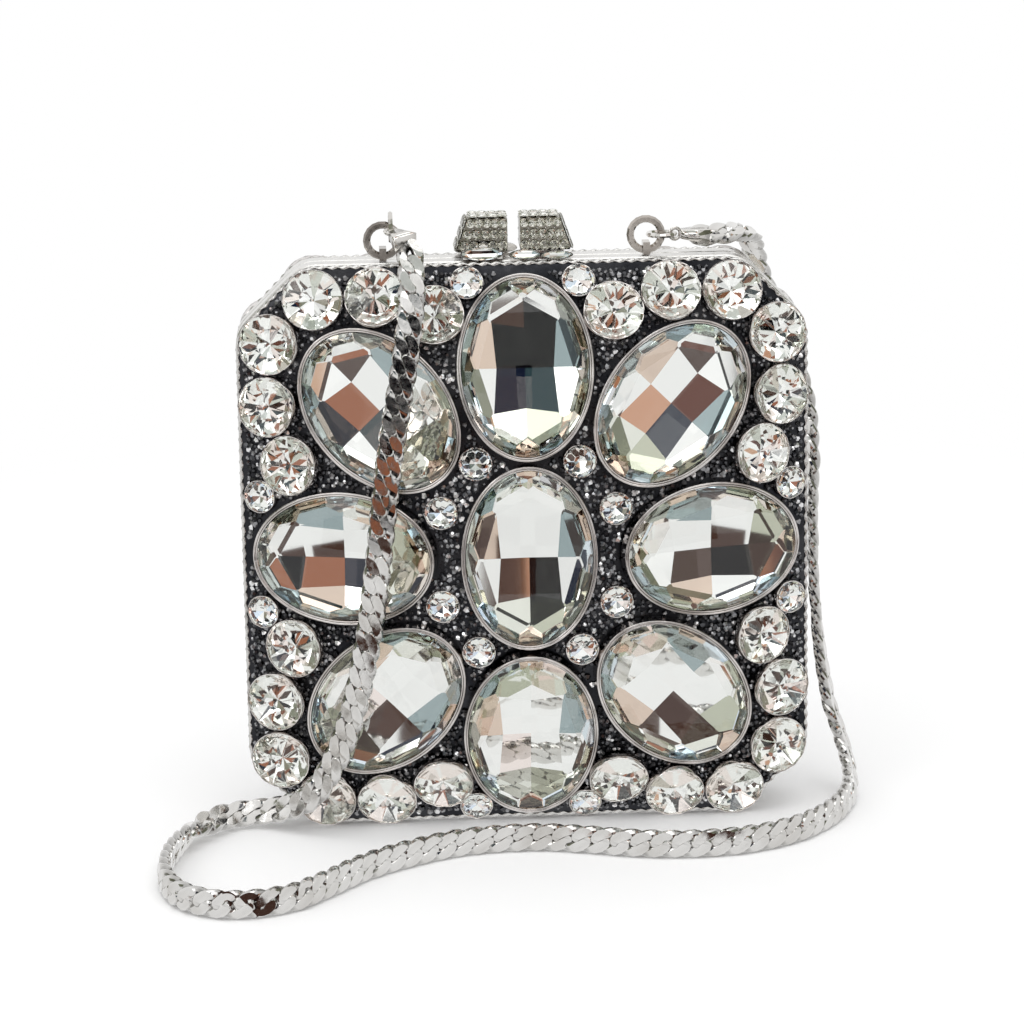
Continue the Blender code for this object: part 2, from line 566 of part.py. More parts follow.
def make_clasp(side, name, lean):
    """Make one kiss-lock post on its seat and pin; the lean is -1 for the left post and +1 for the right one."""
    top = 2 * CASE_HALF_HEIGHT
    inner_x = POST_MIDDLE_X + lean * POST_GAP / 2
    outer_x = inner_x + lean * POST_BASE_WIDTH
    outer_top_x = inner_x + lean * POST_TOP_WIDTH
    middle_x = inner_x + lean * POST_BASE_WIDTH / 2
    axis_y = side * POST_AXIS_Y
    axis_z = top + POST_AXIS_LIFT

    seat = bmesh.new()
    box_solid(seat, (middle_x - SEAT_WIDTH / 2, axis_y - SEAT_DEPTH / 2, top + FIT_GAP),
              (middle_x + SEAT_WIDTH / 2, axis_y + SEAT_DEPTH / 2, top + FIT_GAP + SEAT_THICKNESS))
    seat_item = add_object(name + "_clasp_seat", seat, (0.6, 0.6, 0.6), 0.3)
    ear = bmesh.new()
    rod_solid(ear, (middle_x - EAR_WIDTH / 2, axis_y, axis_z), (middle_x + EAR_WIDTH / 2, axis_y, axis_z), EAR_RADIUS, 12)
    stem = bmesh.new()
    box_solid(stem, (middle_x - EAR_WIDTH / 2, axis_y - EAR_RADIUS, top + FIT_GAP + SEAT_THICKNESS / 2),
              (middle_x + EAR_WIDTH / 2, axis_y + EAR_RADIUS, axis_z))
    bore = bmesh.new()
    rod_solid(bore, (middle_x - EAR_WIDTH, axis_y, axis_z), (middle_x + EAR_WIDTH, axis_y, axis_z),
              POST_PIN_RADIUS + POST_PIN_GAP, 12)
    use_boolean(seat_item, add_cutter(name + "_clasp_stem", stem), "UNION")
    use_boolean(seat_item, add_cutter(name + "_clasp_ear", ear), "UNION")
    use_boolean(seat_item, add_cutter(name + "_clasp_ear_bore", bore), "DIFFERENCE")

    pin = bmesh.new()
    rod_solid(pin, (middle_x - POST_PIN_LENGTH / 2, axis_y, axis_z), (middle_x + POST_PIN_LENGTH / 2, axis_y, axis_z),
              POST_PIN_RADIUS, 12)
    add_object(name + "_clasp_pin", pin, (0.6, 0.6, 0.6), 0.3)

    post = bmesh.new()
    low = top + POST_LIFT
    high = low + POST_HEIGHT
    half = POST_DEPTH / 2
    corners = [((inner_x, outer_x), low), ((inner_x, outer_top_x), high)]
    rings = []
    for (first_x, second_x), height in corners:
        rings.append([post.verts.new((px, py, height)) for px, py in
                      ((first_x, -half), (second_x, -half), (second_x, half), (first_x, half))])
    add_ring_strip(post, rings[0], rings[1])
    post.faces.new(rings[0])
    post.faces.new(rings[1])
    post_item = add_object(name + "_clasp_post", post, (0.8, 0.8, 0.8), 0.15)
    slot = bmesh.new()
    reach = EAR_RADIUS + EAR_GAP
    box_solid(slot, (middle_x - EAR_WIDTH / 2 - EAR_GAP, axis_y - reach, low - reach),
              (middle_x + EAR_WIDTH / 2 + EAR_GAP, axis_y + reach, axis_z + reach))
    socket = bmesh.new()
    rod_solid(socket, (middle_x - POST_PIN_LENGTH / 2 - EAR_GAP, axis_y, axis_z),
              (middle_x + POST_PIN_LENGTH / 2 + EAR_GAP, axis_y, axis_z), POST_PIN_RADIUS + POST_PIN_GAP, 12)
    use_boolean(post_item, add_cutter(name + "_clasp_slot", slot), "DIFFERENCE")
    use_boolean(post_item, add_cutter(name + "_clasp_socket", socket), "DIFFERENCE")


def add_wire_ring(shape, centre, mean_radius, wire_radius, plane):
    """Add a round wire ring that lies in the XZ, YZ or XY plane."""
    rings = []
    for i in range(RING_SEGMENTS):
        angle = 2 * math.pi * i / RING_SEGMENTS
        ring = []
        for j in range(WIRE_SEGMENTS):
            turn = 2 * math.pi * j / WIRE_SEGMENTS
            reach = mean_radius + wire_radius * math.cos(turn)
            offset = wire_radius * math.sin(turn)
            along, up = reach * math.cos(angle), reach * math.sin(angle)
            local = {"XZ": Vector((along, offset, up)), "YZ": Vector((offset, along, up)),
                     "XY": Vector((along, up, offset))}[plane]
            ring.append(shape.verts.new(Vector(centre) + local))
        rings.append(ring)
    for i in range(RING_SEGMENTS):
        add_ring_strip(shape, rings[i], rings[(i + 1) % RING_SEGMENTS])


def ring_centre_height():
    """Return the height of a strap ring's middle, with its lowest wire held in the lug."""
    return 2 * CASE_HALF_HEIGHT + FIT_GAP + RING_WIRE_RADIUS + RING_MEAN_RADIUS


def make_strap_ring(name, x):
    """Make one strap ring and the lug that holds it on the front band."""
    top = 2 * CASE_HALF_HEIGHT
    ring = bmesh.new()
    add_wire_ring(ring, (x, RING_Y, ring_centre_height()), RING_MEAN_RADIUS, RING_WIRE_RADIUS, "XZ")
    add_object(name + "_strap_ring", ring, (0.5, 0.47, 0.43), 0.3)
    lug = bmesh.new()
    box_solid(lug, (x - LUG_WIDTH / 2, RING_Y - LUG_DEPTH / 2, top + FIT_GAP),
              (x + LUG_WIDTH / 2, RING_Y + LUG_DEPTH / 2, top + FIT_GAP + LUG_HEIGHT))
    lug_item = add_object(name + "_ring_lug", lug, (0.6, 0.6, 0.6), 0.3)
    hollow = bmesh.new()
    hollow_z = top + FIT_GAP + RING_WIRE_RADIUS
    rod_solid(hollow, (x - LUG_WIDTH, RING_Y, hollow_z), (x + LUG_WIDTH, RING_Y, hollow_z), LUG_SLOT_RADIUS, 12)
    mouth = bmesh.new()
    box_solid(mouth, (x - LUG_WIDTH, RING_Y - LUG_SLOT_RADIUS, top - LUG_HEIGHT),
              (x + LUG_WIDTH, RING_Y + LUG_SLOT_RADIUS, hollow_z))
    use_boolean(lug_item, add_cutter(name + "_lug_hollow", hollow), "DIFFERENCE")
    use_boolean(lug_item, add_cutter(name + "_lug_mouth", mouth), "DIFFERENCE")


def smooth_route(points, step):
    """Return points about a step apart on a smooth curve through the route's points."""
    vectors = [Vector(p) for p in points]
    padded = [2 * vectors[0] - vectors[1], *vectors, 2 * vectors[-1] - vectors[-2]]
    fine = []
    for i in range(1, len(padded) - 2):
        before, start, finish, after = padded[i - 1:i + 3]
        for k in range(12):
            t = k / 12
            fine.append(0.5 * (2 * start + (finish - before) * t + (2 * before - 5 * start + 4 * finish - after) * t ** 2
                               + (3 * start - before - 3 * finish + after) * t ** 3))
    fine.append(vectors[-1])
    lengths = [0.0]
    for first, second in zip(fine, fine[1:]):
        lengths.append(lengths[-1] + (second - first).length)
    count = max(2, round(lengths[-1] / step))
    result = []
    index = 0
    for i in range(count + 1):
        target = lengths[-1] * i / count
        while index < len(fine) - 2 and lengths[index + 1] < target:
            index += 1
        span = lengths[index + 1] - lengths[index]
        share = (target - lengths[index]) / span if span > 0.0 else 0.0
        result.append(fine[index].lerp(fine[index + 1], min(1.0, share)))
    return result


def make_chain():
    """Make the chain's plain tube along its route."""
    points = smooth_route(CHAIN_ROUTE, CHAIN_STEP)
    curve = bpy.data.curves.new("strap_chain", "CURVE")
    curve.dimensions = "3D"
    curve.bevel_depth = CHAIN_RADIUS
    curve.bevel_resolution = 2
    curve.use_fill_caps = True
    curve.twist_mode = "MINIMUM"
    spline = curve.splines.new("POLY")
    spline.points.add(len(points) - 1)
    for target, point in zip(spline.points, points):
        target.co = (*point, 1.0)
    curve.materials.append(make_material("strap_chain_finish", (0.7, 0.69, 0.68), 0.2, 1.0))
    item = bpy.data.objects.new("strap_chain", curve)
    bpy.context.scene.collection.objects.link(item)
    length = sum((b - a).length for a, b in zip(points, points[1:]))
    print(f"chain length {length:.4f} m, {len(points)} points")


def make_end_cap(name, centre, way, length, wide, eye_in_width):
    """Make the cap that holds the chain's last link, with an eye round the end ring's wire at the centre."""
    way = Vector(way).normalized()
    wide = (Vector(wide) - way * way.dot(Vector(wide))).normalized()
    thick = way.cross(wide)
    centre = Vector(centre)
    cap = bmesh.new()
    rings = []
    for distance, (width, thickness) in ((EYE_RADIUS, CAP_NECK), (EYE_RADIUS + length, CAP_MOUTH)):
        middle = centre + way * distance
        rings.append([cap.verts.new(middle + wide * width * u + thick * thickness * v)
                      for u, v in ((-0.5, -0.5), (0.5, -0.5), (0.5, 0.5), (-0.5, 0.5))])
    add_ring_strip(cap, rings[0], rings[1])
    cap.faces.new(rings[0])
    cap.faces.new(rings[1])
    item = add_object(name + "_end_cap", cap, (0.7, 0.69, 0.68), 0.25)
    eye = bmesh.new()
    add_wire_ring(eye, (0.0, 0.0, 0.0), EYE_RADIUS, EYE_WIRE, "XZ")
    side = wide if eye_in_width else thick
    basis = Matrix((way, side.cross(way), side)).transposed().to_4x4()
    eye.transform(Matrix.Translation(centre) @ basis)
    use_boolean(item, add_cutter(name + "_cap_eye", eye), "UNION")


def make_chain_ends():
    """Make the rings and caps at the two ends of the chain."""
    height = ring_centre_height()
    left_x = RING_LEFT_X + LEFT_RING_OFFSET
    wire_rise = math.sqrt(RING_MEAN_RADIUS ** 2 - LEFT_RING_OFFSET ** 2)
    left_ring = bmesh.new()
    left_centre = Vector((left_x, RING_Y, height + wire_rise))
    add_wire_ring(left_ring, left_centre, END_RING_RADIUS, END_RING_WIRE, "YZ")
    add_object("left_end_ring", left_ring, (0.7, 0.69, 0.68), 0.2)
    drop = Vector((0.0, -math.cos(LEFT_EYE_DROP), -math.sin(LEFT_EYE_DROP)))
    make_end_cap("left", left_centre + drop * END_RING_RADIUS, LEFT_CAP_WAY, LEFT_CAP_LENGTH, (1.0, 0.0, 0.0), True)

    right_centre = Vector((RING_RIGHT_X + RING_MEAN_RADIUS, RING_Y, height))
    right_ring = bmesh.new()
    add_wire_ring(right_ring, right_centre, END_RING_RADIUS, END_RING_WIRE, "XY")
    add_object("right_end_ring", right_ring, (0.7, 0.69, 0.68), 0.2)
    right_eye = right_centre + Vector((END_RING_RADIUS, 0.0, 0.0))
    make_end_cap("right", right_eye, RIGHT_CAP_WAY, RIGHT_CAP_LENGTH, (0.0, 1.0, 0.0), False)


def main():
    """Build the whole clutch."""
    clear_scene()
    for side, name, first_knuckle in ((FRONT, "front", 0), (BACK, "back", 1)):
        make_shell(side, name)
        make_band(side, name)
        make_lining(side, name)
        make_ovals(side, name)
        make_rivoli_rows(side, name)
        make_hinge_leaf(side, name, first_knuckle)
    make_hinge_pin()
    make_clasp(FRONT, "left", -1.0)
    make_clasp(BACK, "right", 1.0)
    make_strap_ring("left", RING_LEFT_X)
    make_strap_ring("right", RING_RIGHT_X)
    make_chain_ends()
    make_chain()


main()
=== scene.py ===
"""Looks of the crystal clutch: crystals, bezels, fine set stones, kiss-lock posts and a flat curb chain.

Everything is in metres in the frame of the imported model: +X to the right, the front face looks along -Y and
+Z is up.
"""
from __future__ import annotations

import logging
import math
from collections.abc import Callable, Sequence
from dataclasses import dataclass, field
from enum import Enum

import bmesh
import bpy
from mathutils import Matrix, Vector

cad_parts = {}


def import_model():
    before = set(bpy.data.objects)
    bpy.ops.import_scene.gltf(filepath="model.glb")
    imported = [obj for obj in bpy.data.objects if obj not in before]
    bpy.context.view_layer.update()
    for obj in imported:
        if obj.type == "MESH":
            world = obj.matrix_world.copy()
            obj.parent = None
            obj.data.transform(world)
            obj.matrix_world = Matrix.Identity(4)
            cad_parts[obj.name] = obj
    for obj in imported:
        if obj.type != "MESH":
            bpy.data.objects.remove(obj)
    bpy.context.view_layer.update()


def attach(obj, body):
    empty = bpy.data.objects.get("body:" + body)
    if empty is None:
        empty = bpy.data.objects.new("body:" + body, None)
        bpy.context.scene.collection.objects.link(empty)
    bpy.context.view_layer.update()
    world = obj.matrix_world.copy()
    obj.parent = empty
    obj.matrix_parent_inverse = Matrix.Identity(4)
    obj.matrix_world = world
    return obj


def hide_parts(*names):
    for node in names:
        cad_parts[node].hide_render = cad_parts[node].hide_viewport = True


LOG = logging.getLogger("clutch")
MM = 0.001
# Per-facet foil colour: plain silver, painted glints of split light and painted reflections of the setting.
TINT_AND_REFLECTION_LAYER = "facet_tint"
SHADE_LAYER = "stone_shade"
# Attribute of painted shade in the creases where the chain's links sit in each other.
CREASE_SHADE_LAYER = "crease"
FULL_TURN = 6.283
Material = bpy.types.Material
Mesh = bpy.types.Mesh
BMesh = bmesh.types.BMesh
Colour = tuple[float, float, float]
Point = tuple[float, float, float]
Pairs = Sequence[tuple[float, float]]
Spot = tuple[Vector, Vector, Vector, Point]


class Side(Enum):
    """The two halves of the case, with the sign of the direction that each face looks in."""

    FRONT = -1.0
    BACK = 1.0

    @property
    def label(self) -> str:
        """The name that the half's nodes start with."""
        return self.name.lower()

    @property
    def body(self) -> str:
        """The CAD body that the half's pieces ride on."""
        return self.label + "_half"


class Facet(Enum):
    """Material slots of a cut stone."""

    CRYSTAL = 0
    FOIL = 1


def angles(count: int, turn: float = 0.0) -> list[float]:
    """Even steps round a circle, in radians, the first one turned by a share of a step."""
    return [2 * math.pi * (i + turn) / count for i in range(count)]


def opaque(colour: Colour) -> tuple[float, float, float, float]:
    """The colour with full alpha."""
    return (*colour, 1.0)


class Nodes:
    """A node tree under construction."""

    def __init__(self, tree: bpy.types.NodeTree) -> None:
        """Start on a tree."""
        self.tree = tree

    def node(self, kind: str, links: dict[str | int, object] | None = None,
             values: dict[str | int, object] | None = None, **settings: object) -> bpy.types.Node:
        """Add a node.

        Args:
            kind: The node's type name.
            links: Sources of its inputs, by input name or number.
            values: Constants for its inputs, by input name or number.
            **settings: Properties of the node.

        Returns:
            The node.
        """
        made = self.tree.nodes.new(kind)
        for key, value in settings.items():
            setattr(made, key, value)
        for key, value in (values or {}).items():
            made.inputs[key].default_value = value
        self.join(made, links or {})
        return made

    def join(self, node: bpy.types.Node, links: dict[str | int, object]) -> None:
        """Link a node's inputs.

        Args:
            node: The node.
            links: Their sources; a node stands for its first output.
        """
        for key, source in links.items():
            socket = source.outputs[0] if isinstance(source, bpy.types.Node) else source
            self.tree.links.new(socket, node.inputs[key])

    def blend(self, share: object, first: object, second: Colour) -> bpy.types.NodeSocket:
        """Blend two colours.

        Args:
            share: The source of the second colour's share.
            first: The first colour, or the socket that gives it.
            second: The second colour.

        Returns:
            The blended colour's socket.
        """
        linked = isinstance(first, bpy.types.NodeSocket)
        links = {"Factor": share, "A": first} if linked else {"Factor": share}
        values = {"B": opaque(second)} if linked else {"A": opaque(first), "B": opaque(second)}
        return self.node("ShaderNodeMix", links, values, data_type="RGBA").outputs["Result"]

    def ramp(self, source: object, stops: Sequence[tuple[float, Colour]],
             interpolation: str) -> bpy.types.Node:
        """Add a colour ramp.

        Args:
            source: The source of its factor.
            stops: Its (position, colour) stops, two or more.
            interpolation: How it runs between them.

        Returns:
            The ramp's node.
        """
        made = self.node("ShaderNodeValToRGB", {"Fac": source})
        ramp = made.color_ramp
        ramp.interpolation = interpolation
        ends = list(ramp.elements)
        for stop, (position, colour) in zip(ends, (stops[0], stops[-1])):
            stop.position, stop.color = position, opaque(colour)
        for position, colour in stops[1:-1]:
            ramp.elements.new(position).color = opaque(colour)
        return made


def new_material(name: str, values: dict[str, object]) -> tuple[Material, Nodes, bpy.types.Node]:
    """Make a material with a Principled shader.

    Args:
        name: The material's name.
        values: Constants for the shader's inputs.

    Returns:
        The material, its nodes and its shader.
    """
    material = bpy.data.materials.new(name)
    material.use_nodes = True
    shader = material.node_tree.nodes["Principled BSDF"]
    for key, value in values.items():
        shader.inputs[key].default_value = value
    return material, Nodes(material.node_tree), shader


@dataclass(frozen=True)
class PlatedMetal:
    """Plated metal with fine wear: roughness, bump and tarnish vary over the surface, and a named attribute
    can add painted shade in creases.
    """

    name: str
    colour: Colour
    roughness: float = 0.2
    roughness_spread: float = 0.12
    grain_scale: float = 900.0
    bump: float = 0.02
    tarnish: Colour = (0.3, 0.28, 0.25)
    tarnish_share: float = 0.2
    # Name of the attribute that paints shade into creases, and the colour of that painted shade.
    crease: str = ""
    crease_colour: Colour = (0.02, 0.018, 0.016)
    patch_scale_share: float = 0.12
    bump_height: float = 0.2 * MM

    def build(self) -> Material:
        """Build the material."""
        material, nodes, shader = new_material(self.name, {"Metallic": 1.0})
        place = nodes.node("ShaderNodeTexCoord").outputs["Object"]
        grain = nodes.node("ShaderNodeTexNoise", {"Vector": place},
                           {"Scale": self.grain_scale, "Detail": 4.0})
        patches = nodes.node("ShaderNodeTexNoise", {"Vector": place},
                             {"Scale": self.grain_scale * self.patch_scale_share, "Detail": 2.0})
        rough = nodes.node("ShaderNodeMapRange", {"Value": grain}, {
            "From Min": 0.3, "From Max": 0.7, "To Min": max(0.02, self.roughness - self.roughness_spread),
            "To Max": self.roughness + self.roughness_spread})
        share = nodes.node("ShaderNodeMapRange", {"Value": patches},
                           {"From Min": 0.45, "From Max": 0.75, "To Max": self.tarnish_share})
        colour = nodes.blend(share, self.colour, self.tarnish)
        # Painted shade: the named attribute darkens the colour towards the painted crease colour.
        if self.crease:
            crease = nodes.node("ShaderNodeAttribute", attribute_name=self.crease)
            colour = nodes.blend(crease.outputs["Fac"], colour, self.crease_colour)
        bump = nodes.node("ShaderNodeBump", {"Height": grain},
                          {"Strength": self.bump, "Distance": self.bump_height})
        nodes.join(shader, {"Base Color": colour, "Roughness": rough, "Normal": bump})
        return material


@dataclass(frozen=True)
class CutCrystal:
    """Clear leaded crystal."""

    name: str
    colour: Colour = (0.98, 0.99, 0.985)
    ior: float = 1.56

    def build(self) -> Material:
        """Build the material."""
        return new_material(self.name, {"Base Color": opaque(self.colour), "Roughness": 0.0, "IOR": self.ior,
                                        "Transmission Weight": 1.0})[0]


@dataclass(frozen=True)
class MirrorFoil:
    """The silvered back of a stone, with a tint kept on each facet: most plain silver, some painted glints of
    split light, some painted reflections of the setting.
    """

    name: str

    def build(self) -> Material:
        """Build the material."""
        material, nodes, shader = new_material(self.name, {"Metallic": 1.0, "Roughness": 0.03})
        tint = nodes.node("ShaderNodeAttribute", attribute_name=TINT_AND_REFLECTION_LAYER)
        nodes.join(shader, {"Base Color": tint.outputs["Color"]})
        return material


@dataclass(frozen=True)
class FineStones:
    """Fine set stones: mostly hematite black, with some grey and a few clear ones."""

    name: str
    stops: tuple[tuple[float, Colour], ...] = (
        (0.0, (0.045, 0.046, 0.052)), (0.5, (0.26, 0.26, 0.27)), (0.87, (0.8, 0.8, 0.81)))

    def build(self) -> Material:
        """Build the material."""
        material, nodes, shader = new_material(self.name, {
            "Metallic": 0.75, "Roughness": 0.12, "Coat Weight": 0.6, "Coat Roughness": 0.03})
        shade = nodes.node("ShaderNodeAttribute", attribute_name=SHADE_LAYER)
        nodes.join(shader, {"Base Color": nodes.ramp(shade.outputs["Fac"], self.stops, "CONSTANT")})
        return material


@dataclass(frozen=True)
class Suede:
    """Matte napped cloth of the inner lining."""

    name: str
    stops: tuple[tuple[float, Colour], ...] = ((0.35, (0.018, 0.018, 0.021)), (0.7, (0.054, 0.054, 0.063)))

    def build(self) -> Material:
        """Build the material."""
        material, nodes, shader = new_material(self.name, {
            "Roughness": 0.9, "Sheen Weight": 0.5, "Sheen Roughness": 0.4})
        place = nodes.node("ShaderNodeTexCoord").outputs["Object"]
        nap = nodes.node("ShaderNodeTexNoise", {"Vector": place}, {"Scale": 2200.0, "Detail": 6.0})
        bump = nodes.node("ShaderNodeBump", {"Height": nap}, {"Strength": 0.4, "Distance": 0.15 * MM})
        nodes.join(shader, {"Base Color": nodes.ramp(nap, self.stops, "LINEAR"), "Normal": bump})
        return material


@dataclass
class Finishes:
    """All finishes of the object, built once."""

    crystal: Material = field(default_factory=CutCrystal("clear_crystal").build)
    foil: Material = field(default_factory=MirrorFoil("stone_foil").build)
    bezel: Material = field(default_factory=PlatedMetal(
        "bezel_rhodium", (0.74, 0.71, 0.69), 0.1, 0.06, tarnish=(0.14, 0.11, 0.09), tarnish_share=0.65).build)
    ground: Material = field(default_factory=PlatedMetal(
        "hematite_ground", (0.025, 0.026, 0.03), 0.3, 0.15, 700.0, 0.3, (0.08, 0.08, 0.085), 0.6).build)
    grit: Material = field(default_factory=FineStones("fine_stones").build)
    # The post core's olive metal is kept dark as painted shade in the gaps between the post stones; its
    # tarnish patches are random wear.
    setting: Material = field(default_factory=PlatedMetal(
        "aged_setting", (0.3, 0.285, 0.24), 0.2, 0.1, 900.0, 0.05, (0.08, 0.07, 0.05), 0.8).build)
    band: Material = field(default_factory=PlatedMetal(
        "band_satin_silver", (0.72, 0.71, 0.69), 0.3, 0.1, 1200.0, 0.06, (0.5, 0.48, 0.45), 0.4).build)
    rope: Material = field(default_factory=PlatedMetal(
        "twisted_wire", (0.7, 0.69, 0.67), 0.18, 0.08, tarnish=(0.2, 0.19, 0.18), tarnish_share=0.6).build)
    # The chain gets painted shade in the creases between its links.
    chain: Material = field(default_factory=PlatedMetal(
        "chain_rhodium", (0.8, 0.79, 0.77), 0.1, 0.06, 800.0, 0.02, (0.5, 0.47, 0.43), 0.5,
        CREASE_SHADE_LAYER).build)
    fitting: Material = field(default_factory=PlatedMetal(
        "fitting_rhodium", (0.74, 0.72, 0.69), 0.12, 0.07, 900.0, 0.03, (0.3, 0.28, 0.25), 0.6).build)
    pewter: Material = field(default_factory=PlatedMetal(
        "pewter_wire", (0.5, 0.46, 0.42), 0.13, 0.06, 900.0, 0.03, (0.07, 0.055, 0.045), 0.9).build)
    hinge: Material = field(default_factory=PlatedMetal(
        "hinge_steel", (0.5, 0.5, 0.5), 0.35, 0.12, 1500.0, 0.05).build)
    lining: Material = field(default_factory=Suede("lining_suede").build)


@dataclass(frozen=True)
class CaseForm:
    """The pillow form that both halves share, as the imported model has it."""

    half_width: float = 65.5 * MM
    half_height: float = 66.0 * MM
    corner_leg: float = 15.2 * MM
    corner_radius: float = 9.0 * MM
    corner_inset_share: float = 0.6
    seam: float = 0.15 * MM
    band_depth: float = 5.0 * MM
    band_wall: float = 1.8 * MM
    seat_gap: float = 0.3 * MM
    lip_depth: float = 1.9 * MM
    lip_inset: float = 0.8 * MM
    crown_height: float = 13.5 * MM
    crown_power: float = 2.3
    shell_wall: float = 2.6 * MM
    slope_step: float = 0.5 * MM

    @property
    def seat(self) -> float:
        """Distance from the seam to the shell's seat."""
        return self.seam + self.band_depth + self.seat_gap

    @property
    def edge(self) -> float:
        """Distance from the seam to the shell's front edge."""
        return self.seat + self.lip_depth

    def crown(self, x: float, z: float) -> float:
        """How far the pillow stands out from its edge, at (x, z) from the middle."""
        across = max(0.0, 1.0 - abs(x / self.half_width) ** self.crown_power)
        upright = max(0.0, 1.0 - abs(z / self.half_height) ** self.crown_power)
        return self.crown_height * across * upright

    def point(self, side: Side, x: float, z: float, depth: float) -> Vector:
        """A point of the object at a distance from the seam, with z measured from the middle."""
        return Vector((x, side.value * depth, self.half_height + z))

    def frame(self, side: Side, x: float, z: float, tilt_share: float = 1.0, turn: float = 0.0) -> Matrix:
        """A matrix on the shell's surface: local +Z points out and local +Y runs up the face.

        Args:
            side: The half.
            x: Distance to the right of the middle.
            z: Distance above the middle.
            tilt_share: Share of the surface's slope that the frame leans by.
            turn: Turn about the outward axis, in radians.

        Returns:
            The matrix.
        """
        step = self.slope_step
        slope_x = (self.crown(x + step, z) - self.crown(x - step, z)) / (2 * step) * tilt_share
        slope_z = (self.crown(x, z + step) - self.crown(x, z - step)) / (2 * step) * tilt_share
        normal = Vector((-slope_x, side.value, -slope_z)).normalized()
        upward = Vector((0.0, 0.0, 1.0))
        upward = (upward - normal * upward.dot(normal)).normalized()
        basis = Matrix((upward.cross(normal), upward, normal)).transposed().to_4x4()
        origin = self.point(side, x, z, self.edge + self.crown(x, z))
        return Matrix.Translation(origin) @ basis @ Matrix.Rotation(turn, 4, "Z")

    def corner(self, x_sign: float, z_sign: float, inset: float, steps: int) -> list[tuple[float, float]]:
        """Points of one clipped corner, from its vertical side to its level one.

        Args:
            x_sign: -1 for the left corners, 1 for the right ones.
            z_sign: -1 for the lower corners, 1 for the upper ones.
            inset: How far the outline is drawn in.
            steps: Points of each of the two bends.

        Returns:
            The (x, z) points from the middle of the case.
        """
        half_width, half_height = self.half_width - inset, self.half_height - inset
        leg = self.corner_leg - inset * self.corner_inset_share
        side_end = Vector((half_width, half_height - leg))
        top_end = Vector((half_width - leg, half_height))
        slant = (top_end - side_end).normalized()
        trim = self.corner_radius * math.tan(math.radians(22.5))
        points = []
        for bend, before, after in ((side_end, Vector((0.0, 1.0)), slant),
                                    (top_end, slant, Vector((-1.0, 0.0)))):
            start, finish = bend - before * trim, bend + after * trim
            for step in range(steps):
                share = step / (steps - 1)
                points.append(start.lerp(bend, share).lerp(bend.lerp(finish, share), share))
        return [(x_sign * p.x, z_sign * p.y) for p in points]

    def outline(self, inset: float, steps: int) -> list[tuple[float, float]]:
        """The closed outline in (x, z) from the middle, from the right side round over the top.

        Args:
            inset: How far the outline is drawn in.
            steps: Points of each bend of a corner.

        Returns:
            The points, with the middle of each straight side among them.
        """
        half_width, half_height = self.half_width - inset, self.half_height - inset
        points = self.corner(1.0, 1.0, inset, steps) + [(0.0, half_height)]
        points += self.corner(-1.0, 1.0, inset, steps)[::-1] + [(-half_width, 0.0)]
        points += self.corner(-1.0, -1.0, inset, steps) + [(0.0, -half_height)]
        return points + self.corner(1.0, -1.0, inset, steps)[::-1] + [(half_width, 0.0)]


def link_object(name: str, mesh: Mesh) -> bpy.types.Object:
    """Make an object of a mesh and link it to the scene."""
    item = bpy.data.objects.new(name, mesh)
    bpy.context.scene.collection.objects.link(item)
    return item


def to_mesh(shape: BMesh, name: str, outward: bool = True) -> Mesh:
    """Turn a bmesh into a mesh, and free it.

    Args:
        shape: The bmesh.
        name: The mesh's name.
        outward: Whether all faces are turned outward first.

    Returns:
        The mesh.
    """
    if outward:
        bmesh.ops.recalc_face_normals(shape, faces=shape.faces)
    mesh = bpy.data.meshes.new(name)
    shape.to_mesh(mesh)
    shape.free()
    return mesh


def shaded(mesh: Mesh, sharp_deg: float) -> Mesh:
    """Shade a mesh smooth, with sharp edges over an angle, and return it."""
    mesh.shade_smooth()
    mesh.set_sharp_from_angle(angle=math.radians(sharp_deg))
    return mesh


def strip(shape: BMesh, lower: Sequence[bmesh.types.BMVert], upper: Sequence[bmesh.types.BMVert]) -> None:
    """Join two closed rows of vertices, of the same length, with quads."""
    for i in range(len(lower)):
        j = (i + 1) % len(lower)
        shape.faces.new((lower[i], lower[j], upper[j], upper[i]))


def sweep_ring(shape: BMesh, profile: Pairs, place: Callable[[float, float, float], Vector],
               count: int) -> None:
    """Sweep a closed profile round a closed path.

    Args:
        shape: The mesh to add to.
        profile: Closed profile points (outward distance, height).
        place: Gives the position from (angle, outward distance, height).
        count: Steps round the path.
    """
    rings = [[shape.verts.new(place(angle, out, up)) for out, up in profile] for angle in angles(count)]
    for i in range(count):
        strip(shape, rings[i], rings[(i + 1) % count])


def add_tube(shape: BMesh, low: Sequence[Vector], high: Sequence[Vector]) -> None:
    """Add a closed tube between two rows of points, with a flat end at each."""
    ends = [[shape.verts.new(point) for point in row] for row in (low, high)]
    strip(shape, ends[0], ends[1])
    for end in ends:
        shape.faces.new(end)


def boolean(mesh: Mesh, cutter: Mesh) -> Mesh:
    """Cut a closed mesh out of another one, and return the new mesh, without materials."""
    pair = [link_object("boolean_side", data) for data in (mesh, cutter)]
    modifier = pair[0].modifiers.new("boolean", "BOOLEAN")
    modifier.operation = "DIFFERENCE"
    modifier.solver = "EXACT"
    modifier.object = pair[1]
    graph = bpy.context.evaluated_depsgraph_get()
    made = bpy.data.meshes.new_from_object(pair[0].evaluated_get(graph))
    for item in pair:
        bpy.data.objects.remove(item, do_unlink=True)
    made.materials.clear()
    return made


def join_copies(source: Mesh, places: Sequence[Matrix], name: str) -> Mesh:
    """Join copies of a mesh at several places into one mesh, with its face attributes.

    Args:
        source: The mesh to copy.
        places: The matrix of each copy.
        name: The new mesh's name.

    Returns:
        The joined mesh.
    """
    shape = bmesh.new()
    for place in places:
        copy = source.copy()
        copy.transform(place)
        shape.from_mesh(copy)
        bpy.data.meshes.remove(copy)
    return to_mesh(shape, name, outward=False)


